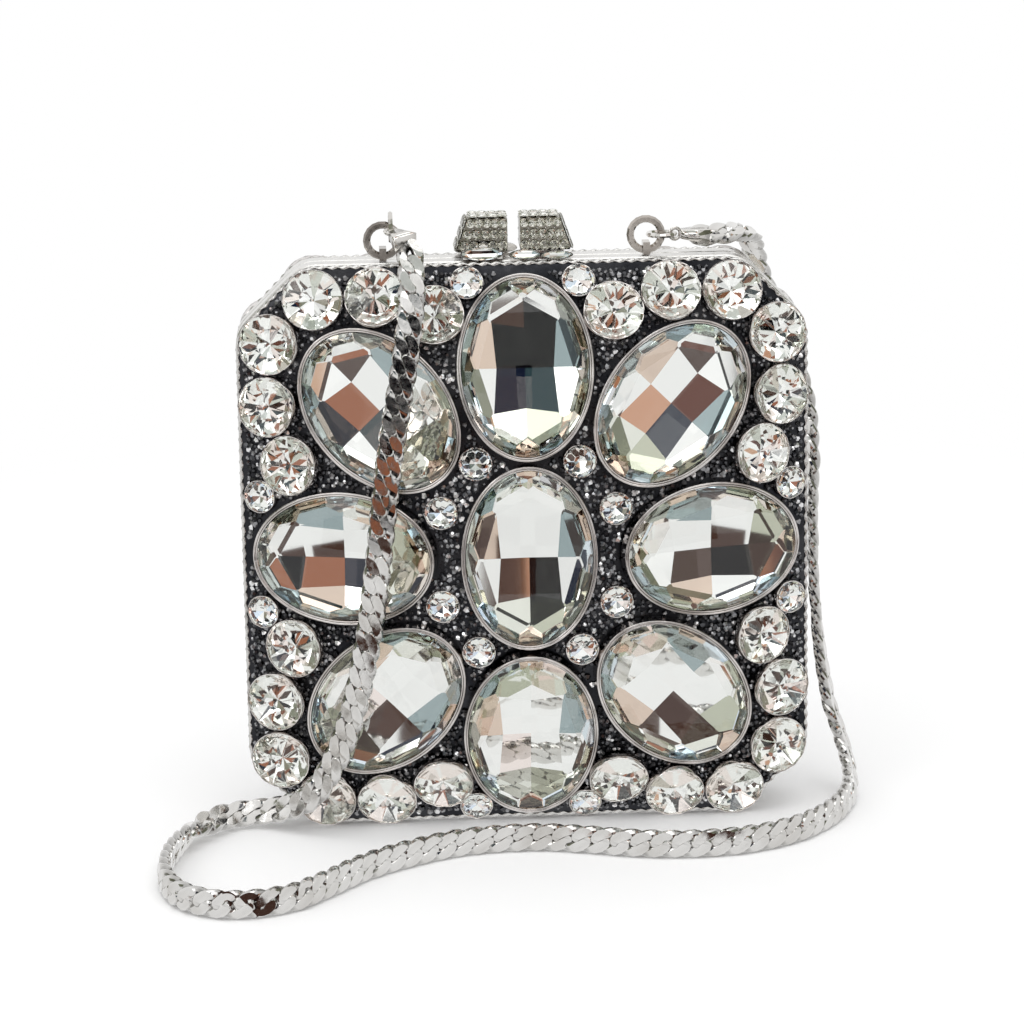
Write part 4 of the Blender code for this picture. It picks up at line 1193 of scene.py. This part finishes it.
        count_x, count_z = (int(half / step) + 1 for half in (self.form.half_width, self.form.half_height))
        for i in range(-count_x, count_x):
            for j in range(-count_z, count_z):
                if self.is_bare((i + 0.5) * step, (j + 0.5) * step):
                    corners = [vert(i, j), vert(i + 1, j), vert(i + 1, j + 1), vert(i, j + 1)]
                    shape.faces.new(corners if self.side is Side.FRONT else corners[::-1])
        stone = bmesh.new()
        bmesh.ops.create_cone(stone, cap_ends=True, segments=6, radius1=self.fine_radii[0],
                              radius2=self.fine_radii[1], depth=self.fine_height,
                              matrix=Matrix.Translation((0.0, 0.0, self.fine_lift)))
        smallest, largest = self.fine_scales
        ground = to_mesh(shape, "bare_ground", outward=False)
        mesh = self.shop.run(self.shop.scatter, ground, self.shop.finishes.grit, {
            "Stone": to_mesh(stone, "fine_stone"), "Spacing": self.fine_spacing, "Smallest": smallest,
            "Largest": largest, "Lean": self.fine_lean, "Seed": 3 if self.side is Side.FRONT else 8})
        self.dress("fine_stones", mesh, "shell_metal")

    def make_band(self) -> None:
        """The flat satin band, open at the bottom where the hinge lies."""
        form, bevel = self.form, self.band_bevel
        shape = bmesh.new()
        near, far = form.seam, form.seam + form.band_depth
        section = ((bevel, near), (0.0, near + bevel), (0.0, far - bevel), (bevel, far),
                   (form.band_wall, far), (form.band_wall, near))
        rings = [self.ring(shape, 1.0, inset, lambda x, z, d=depth: d, 8) for inset, depth in section]
        for i, lower in enumerate(rings):
            strip(shape, lower, rings[(i + 1) % len(rings)])
        notch = bmesh.new()
        bmesh.ops.create_cube(notch, size=1.0, matrix=Matrix.Diagonal((*self.hinge_notch, 1.0)))
        mesh = shaded(boolean(to_mesh(shape, "band_blank"), to_mesh(notch, "band_notch")), 30.0)
        self.dress("rim_band", mesh, "band_metal", self.shop.finishes.band, replaces="band")

    def wind_edge_wire(self) -> None:
        """The twisted wire along the shell's edge."""
        line = bmesh.new()
        depth = self.form.edge - self.wire_sink
        verts = self.ring(line, 1.0, self.form.lip_inset - self.wire_inset, lambda x, z: depth, 8)
        for i, first in enumerate(verts):
            line.edges.new((first, verts[(i + 1) % len(verts)]))
        edge = to_mesh(line, "edge_line", outward=False)
        mesh = self.shop.run(self.shop.rope, edge, self.shop.finishes.rope, {
            "Radius": self.wire_radius, "Flatness": self.wire_flatness, "Step": self.wire_step,
            "Turn per Step": self.wire_turn})
        mesh.shade_smooth()
        self.dress("edge_wire", mesh, "band_metal")


@dataclass
class KissLock:
    """One kiss-lock post, with its foot and pin."""

    label: str
    side: Side
    lean: float
    shop: Workshop
    top: float = 132.0 * MM
    gap: float = 2.2 * MM
    base_width: float = 12.2 * MM
    top_width: float = 9.6 * MM
    depth: float = 8.8 * MM
    height: float = 8.0 * MM
    lift: float = 1.9 * MM
    axis_y: float = 3.2 * MM
    ear_slot: Point = (3.7 * MM, 3.3 * MM, 4.9 * MM)
    stone_pitch: float = 2.4 * MM
    stone_radius: float = 1.27 * MM
    stone_lift: float = 0.5 * MM
    stone_turn: float = 2.4
    bead_radius: float = 0.27 * MM
    bead_lift: float = 0.18 * MM
    skin: float = 0.55 * MM

    def corners(self, share: float, inset: float) -> tuple[float, float, float]:
        """The inner x, outer x and half depth at a share of the post's height."""
        inner = POST_MIDDLE + self.lean * (self.gap / 2 + inset)
        width = self.base_width + (self.top_width - self.base_width) * share - 2 * inset
        return inner, inner + self.lean * width, self.depth / 2 - inset

    def dress(self, name: str, mesh: Mesh, *materials: Material, replaces: str = "") -> None:
        """Link a mesh as a finished piece of this post."""
        dress_mesh(self.label + name, mesh, self.label + "_clasp", "clasp_metal", *materials,
                   replaces=replaces)

    def build(self) -> None:
        """Make the post's core, its stones and beads, and give its foot and pin their finishes."""
        low = self.top + self.lift
        thin = self.skin * 0.6
        shape = bmesh.new()
        rings = []
        for share, inset, lift in ((0.0, self.skin, 0.0), (0.0, thin, self.height * 0.06),
                                   (0.93, thin, self.height * 0.93),
                                   (1.0, self.skin * 1.6, self.height - self.skin)):
            inner, outer, half = self.corners(share, inset)
            rings.append([shape.verts.new((x, y, low + lift)) for x, y in
                          ((inner, -half), (outer, -half), (outer, half), (inner, half))])
        for lower, upper in zip(rings, rings[1:]):
            strip(shape, lower, upper)
        shape.faces.new(rings[0])
        shape.faces.new(rings[-1])
        middle_x = POST_MIDDLE + self.lean * (self.gap / 2 + self.base_width / 2)
        slot = bmesh.new()
        bmesh.ops.create_cube(slot, size=1.0, matrix=Matrix.Translation(
            (middle_x, self.side.value * self.axis_y, low)) @ Matrix.Diagonal((*self.ear_slot, 1.0)))
        core = boolean(to_mesh(shape, "post_core"), to_mesh(slot, "post_slot"))
        self.dress("_post_core", core, self.shop.finishes.setting, replaces=self.label + "_clasp_post")
        stones, beads = self.spots(low)
        mesh = join_copies(self.shop.cuts["post"], stones, "post_stones")
        self.dress("_post_stones", mesh, *self.shop.stone)
        bead = bmesh.new()
        bmesh.ops.create_icosphere(bead, subdivisions=1, radius=self.bead_radius)
        mesh = self.shop.set_shapes(to_mesh(bead, "bead"), beads, self.shop.finishes.fitting)
        mesh.shade_smooth()
        self.dress("_post_beads", mesh)
        repaint(self.label + "_clasp_seat", self.shop.finishes.fitting)
        repaint(self.label + "_clasp_pin", self.shop.finishes.hinge)

    def faces(self, low: float) -> list[list[Vector]]:
        """The four stone-covered faces, each as its four corners and its outward direction.

        Args:
            low: Height of the post's lower face.

        Returns:
            For each face two corners of its lower row, two of its upper row, and the direction.
        """
        thin = self.skin * 0.6
        (inner, outer, half), (top_inner, top_outer, _) = self.corners(0.0, thin), self.corners(1.0, thin)
        rim, high = low + (self.height - self.skin * 0.4), low + self.height - self.skin
        found = [((inner, y, low), (outer, y, low), (top_inner, y, rim), (top_outer, y, rim),
                  (0.0, sign, 0.0)) for sign, y in ((-1.0, -half), (1.0, half))]
        found.append(((top_inner, -half, high), (top_outer, -half, high), (top_inner, half, high),
                      (top_outer, half, high), (0.0, 0.0, 1.0)))
        slope = (self.lean * self.height, 0.0, self.base_width - self.top_width)
        found.append(((outer, -half, low), (outer, half, low), (top_outer, -half, high),
                      (top_outer, half, high), slope))
        return [[*map(Vector, face[:4]), Vector(face[4]).normalized()] for face in found]

    def spots(self, low: float) -> tuple[list[Matrix], list[Spot]]:
        """Rows of stones over the post's faces, with a bead between each four.

        Args:
            low: Height of the post's lower face.

        Returns:
            The stones' matrices, and the beads' places for the setting tree.
        """
        stones, beads = [], []
        for a, b, c, d, out in self.faces(low):
            along = (b - a).normalized()
            basis = Matrix((along, out.cross(along), out)).transposed().to_4x4()
            columns = max(2, round((b - a).length / self.stone_pitch))
            rows = max(2, round((c - a).length / self.stone_pitch))
            for j in range(rows):
                for i in range(columns):
                    u, v = (i + 0.5) / columns, (j + 0.5) / rows
                    spot = a.lerp(b, u).lerp(c.lerp(d, u), v)
                    wide, tall = (a.lerp(c, v) - b.lerp(d, v)).length / columns, (c - a).length / rows
                    fit = min(wide, tall) / self.stone_pitch
                    turned = basis @ Matrix.Rotation(len(stones) * self.stone_turn, 4, "Z")
                    size = Matrix.Scale(fit * self.stone_radius, 4)
                    stones.append(Matrix.Translation(spot + out * self.stone_lift) @ turned @ size)
            for j in range(1, rows):
                for i in range(1, columns):
                    u, v = i / columns, j / rows
                    spot = a.lerp(b, u).lerp(c.lerp(d, u), v) + out * self.bead_lift
                    beads.append((spot, along, out, (1.0, 1.0, 1.0)))
        return stones, beads


def smooth_line(points: Sequence[Point], step: float, pieces: int = 16) -> list[Vector]:
    """Points about a step apart on a smooth curve through a route.

    Args:
        points: The route.
        step: The spacing.
        pieces: Straight pieces of the curve between two points of the route.

    Returns:
        The points, evenly spaced.
    """
    vectors = [Vector(p) for p in points]
    padded = [2 * vectors[0] - vectors[1], *vectors, 2 * vectors[-1] - vectors[-2]]
    fine = []
    for i in range(1, len(padded) - 2):
        before, start, finish, after = padded[i - 1:i + 3]
        for t in (k / pieces for k in range(pieces)):
            fine.append(0.5 * (2 * start + (finish - before) * t
                               + (2 * before - 5 * start + 4 * finish - after) * t ** 2
                               + (3 * start - before - 3 * finish + after) * t ** 3))
    fine.append(vectors[-1])
    lengths = [0.0]
    for first, second in zip(fine, fine[1:]):
        lengths.append(lengths[-1] + (second - first).length)
    count = max(2, round(lengths[-1] / step))
    result, index = [], 0
    for i in range(count + 1):
        target = lengths[-1] * i / count
        while index < len(fine) - 2 and lengths[index + 1] < target:
            index += 1
        share = (target - lengths[index]) / (lengths[index + 1] - lengths[index])
        result.append(fine[index].lerp(fine[index + 1], min(1.0, share)))
    return result


@dataclass
class ChainStrap:
    """The flat curb chain, its end caps and end rings, and the strap rings in their lugs.

    The first links lean by the angles in leans_deg, and the others rock a little.
    """

    shop: Workshop
    route: tuple[Point, ...]
    faces: tuple[tuple[float, Point], ...]
    width: float = 6.4 * MM
    thickness: float = 2.42 * MM
    pitch: float = 4.6 * MM
    wire: float = 1.35 * MM
    twist_deg: float = 36.0
    link_steps: int = 28
    link_sides: int = 14
    # Where the painted crease shade sets in from the filed faces, how fast it grows, and its share on the
    # wire's outer and inner sides.
    crease_reach: float = 0.95
    crease_rise: float = 5.0
    inner_crease: tuple[float, float] = (0.35, 0.65)
    rock_deg: float = 3.5
    rock_steps: tuple[float, float] = (2.4, 0.61)
    leans_deg: tuple[float, ...] = (
        0.0, 0.0, 0.0, -2.0, -3.0, -1.5, 0.0, 1.0, 1.5, 2.0, 1.9, 3.5, 5.0, 6.6, 3.0, 0.0)
    cap_rounding: float = 0.55 * MM

    def link(self) -> Mesh:
        """One curb link: an oval ring of thick wire, twisted along the chain, filed flat on both sides, with
        painted crease shade.
        """
        shape = bmesh.new()
        crease_shades = shape.verts.layers.float.new(CREASE_SHADE_LAYER)
        half = self.thickness / 2
        half_long, half_wide = self.pitch / 2 + self.wire, self.width / 2 - self.wire
        outside, inside = self.inner_crease
        rings = []
        for angle in angles(self.link_steps):
            centre = Vector((half_long * math.cos(angle), half_wide * math.sin(angle), 0.0))
            away = Vector((math.cos(angle) / half_long, math.sin(angle) / half_wide, 0.0)).normalized()
            ring = []
            for turn in angles(self.link_sides):
                rise = Vector((0.0, 0.0, self.wire * math.sin(turn)))
                spot = centre + away * (self.wire * math.cos(turn)) + rise
                lean = -math.radians(self.twist_deg) * spot.x / half_long
                vert = shape.verts.new(Matrix.Rotation(lean, 3, "X") @ spot)
                # Painted shade: darker away from the filed faces and on the wire's inner side, where the
                # links sit in each other.
                shade = max(0.0, min(1.0, (self.crease_reach - abs(vert.co.z) / half) * self.crease_rise))
                vert[crease_shades] = shade * (outside + inside * (0.5 - 0.5 * math.cos(turn)))
                ring.append(vert)
            rings.append(ring)
        for i, ring in enumerate(rings):
            strip(shape, ring, rings[(i + 1) % len(rings)])
        for way in (1.0, -1.0):
            bmesh.ops.bisect_plane(shape, geom=[*shape.verts, *shape.edges, *shape.faces],
                                   dist=0.001 * MM, plane_co=(0.0, 0.0, way * half),
                                   plane_no=(0.0, 0.0, way), clear_outer=True)
            bmesh.ops.holes_fill(shape, edges=[e for e in shape.edges if e.is_boundary], sides=0)
        return to_mesh(shape, "curb_link")

    def face_at(self, share: float) -> Vector:
        """The direction that the chain's flat side looks in at a share of its length."""
        for (start, first), (finish, second) in zip(self.faces, self.faces[1:]):
            if share <= finish:
                t = (share - start) / (finish - start)
                return Vector(first).lerp(Vector(second), t * t * (3 - 2 * t)).normalized()
        return Vector(self.faces[-1][1])

    def build(self) -> None:
        finishes = self.shop.finishes
        line = smooth_line(self.route, self.pitch)
        last = len(line) - 1
        fast, slow = self.rock_steps
        spots = []
        for i, spot in enumerate(line):
            along = (line[min(last, i + 1)] - line[max(0, i - 1)]).normalized()
            face = self.face_at(i / last)
            face = (face - along * face.dot(along)).normalized()
            rock = math.radians(self.rock_deg) * math.sin(i * fast) * math.sin(i * slow + 1.0)
            if i < len(self.leans_deg):
                rock = math.radians(self.leans_deg[i])
            spots.append((spot, along * math.cos(rock) + face * math.sin(rock),
                          face * math.cos(rock) - along * math.sin(rock), (1.0, 1.0, 1.0)))
        mesh = shaded(self.shop.set_shapes(self.link(), spots, finishes.chain), 22.0)
        chain = dress_mesh("curb_chain", mesh, "front_half", "chain_metal", replaces="strap_chain")
        for end in ("left", "right"):
            repaint(end + "_end_ring", finishes.fitting)
            repaint(end + "_strap_ring", finishes.pewter)
            repaint(end + "_ring_lug", finishes.pewter)
            soften(end + "_end_cap", end + "_round_cap", "chain_metal", self.cap_rounding, finishes.fitting)
        repaint("hinge_pin", finishes.hinge)


CHAIN_ROUTE: tuple[Point, ...] = tuple((x * MM, y * MM, z * MM) for x, y, z in (
    (-25.4, -12.4, 134.2), (-25.3, -15.6, 130.6), (-25.4, -18.3, 125.4), (-26.4, -20.6, 117.5),
    (-28.0, -22.5, 108.5), (-30.9, -24.6, 93.0), (-33.1, -25.6, 77.5), (-35.0, -25.4, 62.5),
    (-37.6, -23.8, 46.0), (-41.0, -21.5, 31.0), (-45.6, -19.8, 18.6), (-51.3, -17.9, 9.8),
    (-58.6, -12.4, 5.2), (-65.8, -9.6, 3.7), (-73.0, -12.4, 3.4), (-79.2, -22.5, 3.3),
    (-83.3, -37.5, 3.3), (-84.0, -53.5, 3.3), (-79.5, -67.0, 3.3), (-70.0, -74.0, 3.3),
    (-57.5, -71.8, 3.3), (-48.5, -62.8, 3.3), (-40.0, -51.8, 3.3), (-29.5, -42.6, 3.3),
    (-16.5, -35.4, 3.3), (-1.0, -33.4, 3.3), (11.0, -36.2, 3.3), (24.0, -40.6, 3.3),
    (38.0, -41.8, 3.3), (51.0, -38.6, 3.3), (62.5, -30.4, 3.3), (71.8, -16.6, 3.3),
    (76.4, -1.6, 4.6), (75.6, 7.4, 11.6), (72.6, 10.4, 22.0), (70.2, 10.8, 38.0),
    (68.9, 10.4, 55.0), (68.5, 10.2, 72.0), (68.2, 11.0, 84.0), (67.0, 14.0, 95.0),
    (64.0, 17.0, 105.0), (60.4, 18.2, 114.5), (57.2, 17.8, 123.0), (55.2, 14.6, 130.2),
    (53.4, 8.4, 134.5), (49.2, 2.8, 135.8), (43.3, 0.3, 135.8)))
CHAIN_FACES: tuple[tuple[float, Point], ...] = (
    (0.0, (0.2, -0.75, 0.6)), (0.03, (-0.09, -1.0, 0.3)), (0.11, (-0.1, -1.0, 0.2)),
    (0.14, (-0.22, -1.0, 0.25)), (0.22, (-0.25, -1.0, 0.25)), (0.27, (-0.3, -0.9, 0.4)),
    (0.33, (-0.9, -0.5, 0.05)), (0.40, (-0.2, -1.0, 0.1)), (0.5, (0.4, -1.0, 0.1)),
    (0.62, (0.1, -1.0, 0.1)), (0.7, (0.7, -0.8, 0.1)), (0.76, (1.0, -0.3, 0.2)),
    (0.84, (1.0, 0.0, 0.0)), (0.90, (0.8, 0.6, 0.1)), (0.94, (0.5, 0.8, 0.3)),
    (0.965, (0.5, 0.4, 0.7)), (0.98, (0.2, -0.4, 0.9)), (1.0, (-0.1, -0.5, 0.9)))
MIDDLE = (0.0, 0.0, 66.0 * MM)


@dataclass(frozen=True)
class Card:
    """A card of the studio, seen only in reflections, by its direction from the object.

    Azimuth 0 is in front of the object and grows to its right.
    """

    name: str
    azimuth_deg: float
    elevation_deg: float
    size_deg: tuple[float, float]
    colour: Colour
    distance: float = 0.8

    def place(self) -> Matrix:
        """The matrix that turns the card to the object."""
        azimuth, elevation = math.radians(self.azimuth_deg), math.radians(self.elevation_deg)
        way = Vector((math.sin(azimuth) * math.cos(elevation), -math.cos(azimuth) * math.cos(elevation),
                      math.sin(elevation)))
        turn = (way * -self.distance).to_track_quat("Z", "Y").to_matrix().to_4x4()
        return Matrix.Translation(Vector(MIDDLE) + way * self.distance) @ turn

    def half_size(self) -> list[float]:
        """Half of the card's width and height."""
        return [self.distance * math.tan(math.radians(angle / 2)) for angle in self.size_deg]


BLACK, NAVY, TEAL = (0.004, 0.004, 0.005), (0.008, 0.014, 0.035), (0.03, 0.055, 0.065)
UMBER, RUSSET = (0.06, 0.03, 0.022), (0.13, 0.045, 0.03)
TERRACOTTA, TAN = (0.34, 0.13, 0.07), (0.6, 0.36, 0.24)
SAGE, MIST = (0.22, 0.23, 0.17), (0.62, 0.65, 0.63)
CARDS = (
    Card("black_low", -9.0, 0.0, (15.0, 9.4), BLACK),
    Card("black_chain", -12.5, 8.7, (10.0, 2.8), BLACK),
    Card("terracotta_chain", -12.5, 6.0, (10.0, 2.6), TERRACOTTA),
    Card("umber_low", 13.0, 0.0, (11.8, 9.4), UMBER),
    Card("tan_low", 21.4, 0.0, (5.0, 9.4), TAN),
    Card("terracotta_middle", -1.5, 10.5, (9.0, 10.0), TERRACOTTA),
    Card("russet_middle", 8.0, 10.5, (10.0, 10.0), RUSSET),
    Card("black_upper_left", -13.0, 15.0, (12.0, 9.0), BLACK),
    Card("black_upper_right", 19.0, 15.0, (11.0, 9.0), BLACK),
    Card("terracotta_left", -24.6, 1.0, (6.0, 12.0), TERRACOTTA),
    Card("navy_far_left", -46.0, 2.0, (12.0, 12.0), NAVY),
    Card("teal_left", -39.0, 11.0, (9.0, 9.0), TEAL),
    Card("black_far_right", 30.0, 1.0, (8.0, 10.0), BLACK),
    Card("tan_far_right", 44.5, 6.0, (7.0, 10.0), TAN),
    Card("umber_far_right", 52.5, 1.0, (8.6, 10.0), UMBER),
    Card("umber_floor_right", 39.7, -26.4, (15.0, 15.0), UMBER, 0.119),
    Card("russet_floor_right", 23.8, -14.4, (8.0, 4.0), RUSSET, 0.232),
    Card("umber_floor_left", -36.0, -27.0, (14.0, 14.0), UMBER, 0.117),
    Card("terracotta_floor_left", -18.6, -14.6, (8.0, 4.0), TERRACOTTA, 0.23),
    Card("teal_top_left", -16.0, 32.0, (16.0, 14.0), TEAL),
    Card("navy_top_right", 20.0, 32.0, (18.0, 14.0), NAVY),
    Card("black_over_camera", 3.0, 23.0, (12.0, 7.0), BLACK),
    Card("dark_table_edge", 2.0, -11.5, (80.0, 6.5), UMBER, 0.24),
    Card("sage_left", -80.0, 22.0, (50.0, 30.0), SAGE),
    Card("sage_right", 82.0, 24.0, (50.0, 30.0), SAGE),
    Card("mist_top", 0.0, 68.0, (60.0, 20.0), MIST),
    Card("terracotta_up", -52.0, 48.0, (9.0, 14.0), TERRACOTTA),
    Card("tan_up", 50.0, 52.0, (9.0, 12.0), TAN),
)


def sheet(name: str, half_x: float, half_y: float, material: Material) -> Mesh:
    """Make a flat sheet about the origin.

    Args:
        name: The mesh's name.
        half_x: Half of its width.
        half_y: Half of its height.
        material: Its material.

    Returns:
        The mesh.
    """
    mesh = bpy.data.meshes.new(name)
    mesh.from_pydata([(x * half_x, y * half_y, 0.0) for x, y in ((-1, -1), (1, -1), (1, 1), (-1, 1))], [],
                     [(0, 1, 2, 3)])
    mesh.materials.append(material)
    return mesh


@dataclass
class Studio:
    """Camera, floor, world, lamps and the cards that the crystals mirror."""

    camera_place: Point = (-42.8 * MM, -874.1 * MM, 276.1 * MM)
    right: Point = (0.9985, -0.0527, -0.0161)
    forward: Point = (0.0475, 0.9712, -0.2334)
    lens: float = 135.7
    sensor: float = 36.0
    shift: tuple[float, float] = (-0.0119, 0.0233)
    fill: float = 0.85
    mirrored_floor: float = 0.88
    floor_reach: float = 6.0
    shadow_reach: tuple[float, float] = (0.14, 0.42)
    lamps: tuple[tuple[str, Point, float, float], ...] = (
        ("overhead", (0.1, -0.5, 1.5), 1.6, 9.0), ("key", (-1.1, -0.9, 0.9), 0.7, 3.0))
    lit_place: Point = (0.0, 0.0, 0.06)

    def build(self) -> None:
        """Set the stage."""
        scene = bpy.context.scene
        scene.view_settings.view_transform = "Standard"
        scene.cycles.max_bounces = 24
        scene.cycles.glossy_bounces = 14
        scene.cycles.transmission_bounces = 16
        self.make_camera(scene)
        self.make_world(scene)
        self.make_floor()
        self.make_lamps(scene)
        for card in CARDS:
            self.make_card(card)

    def make_camera(self, scene: bpy.types.Scene) -> None:
        """Place the photograph's camera."""
        data = bpy.data.cameras.new("photo_camera")
        data.lens = self.lens
        data.sensor_width = self.sensor
        data.shift_x, data.shift_y = self.shift
        data.clip_start, data.clip_end = 0.01, 20.0
        camera = bpy.data.objects.new("photo_camera", data)
        back = -Vector(self.forward).normalized()
        right = (Vector(self.right) - back * back.dot(Vector(self.right))).normalized()
        basis = Matrix((right, back.cross(right), back)).transposed().to_4x4()
        camera.matrix_world = Matrix.Translation(self.camera_place) @ basis
        scene.collection.objects.link(camera)
        scene.camera = camera

    def make_world(self, scene: bpy.types.Scene) -> None:
        """A white surround for what is seen or mirrored, and a softer one that lights."""
        world = bpy.data.worlds.new("studio")
        world.use_nodes = True
        nodes = Nodes(world.node_tree)
        rays = nodes.node("ShaderNodeLightPath").outputs
        seen = rays["Is Camera Ray"]
        for kind in ("Is Glossy Ray", "Is Transmission Ray"):
            seen = nodes.node("ShaderNodeMath", {0: seen, 1: rays[kind]}, operation="MAXIMUM")
        strength = nodes.node("ShaderNodeMapRange", {"Value": seen}, {"To Min": self.fill, "To Max": 1.0})
        background = world.node_tree.nodes["Background"]
        background.inputs["Color"].default_value = (1.0, 1.0, 1.0, 1.0)
        nodes.join(background, {"Strength": strength})
        scene.world = world

    def make_floor(self) -> None:
        """A white floor that keeps the object's shadow, and glows white further out and in reflections."""
        material, nodes, shader = new_material("floor_white", {
            "Base Color": (0.96, 0.96, 0.96, 1.0), "Roughness": 0.7, "Specular IOR Level": 0.1})
        start, end = self.shadow_reach
        place = nodes.node("ShaderNodeTexCoord").outputs["Object"]
        away = nodes.node("ShaderNodeVectorMath", {0: place}, operation="LENGTH").outputs["Value"]
        fade = nodes.node("ShaderNodeMapRange", {"Value": away}, {"From Min": start, "From Max": end})
        white = nodes.node("ShaderNodeEmission")
        blend = nodes.node("ShaderNodeMixShader", {"Fac": fade, 1: shader, 2: white})
        glow = nodes.node("ShaderNodeEmission", None, {"Strength": self.mirrored_floor})
        seen = nodes.node("ShaderNodeLightPath").outputs["Is Camera Ray"]
        mix = nodes.node("ShaderNodeMixShader", {"Fac": seen, 1: glow, 2: blend})
        nodes.join(nodes.tree.nodes["Material Output"], {"Surface": mix})
        link_object("floor", sheet("floor", self.floor_reach, self.floor_reach, material))

    def make_lamps(self, scene: bpy.types.Scene) -> None:
        """A large soft lamp above and a smaller key lamp on the left."""
        for name, place, size, power in self.lamps:
            data = bpy.data.lights.new(name, "AREA")
            data.size = size
            data.energy = power
            lamp = bpy.data.objects.new(name, data)
            lamp.location = place
            lamp.rotation_euler = (Vector(self.lit_place) - Vector(place)).to_track_quat("-Z", "Y").to_euler()
            scene.collection.objects.link(lamp)

    def make_card(self, card: Card) -> None:
        """Make one card that faces the object and shows only in reflections."""
        material = bpy.data.materials.new(card.name)
        material.use_nodes = True
        nodes = Nodes(material.node_tree)
        nodes.tree.nodes.clear()
        glow = nodes.node("ShaderNodeEmission", None, {"Color": opaque(card.colour)})
        nodes.node("ShaderNodeOutputMaterial", {"Surface": glow})
        mesh = sheet(card.name, *card.half_size(), material)
        mesh.transform(card.place())
        item = link_object(card.name, mesh)
        item.visible_camera = False
        item.visible_diffuse = False
        item.visible_shadow = False


def main() -> None:
    """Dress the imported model."""
    logging.basicConfig(level=logging.INFO, format="%(name)s: %(message)s")
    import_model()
    Studio().build()
    shop = Workshop()
    ChainStrap(shop, CHAIN_ROUTE, CHAIN_FACES).build()
    form = CaseForm()
    for side in Side:
        HalfCase(side, form, shop).build()
    KissLock("left", Side.FRONT, -1.0, shop).build()
    KissLock("right", Side.BACK, 1.0, shop).build()


if __name__ == "__main__":
    main()
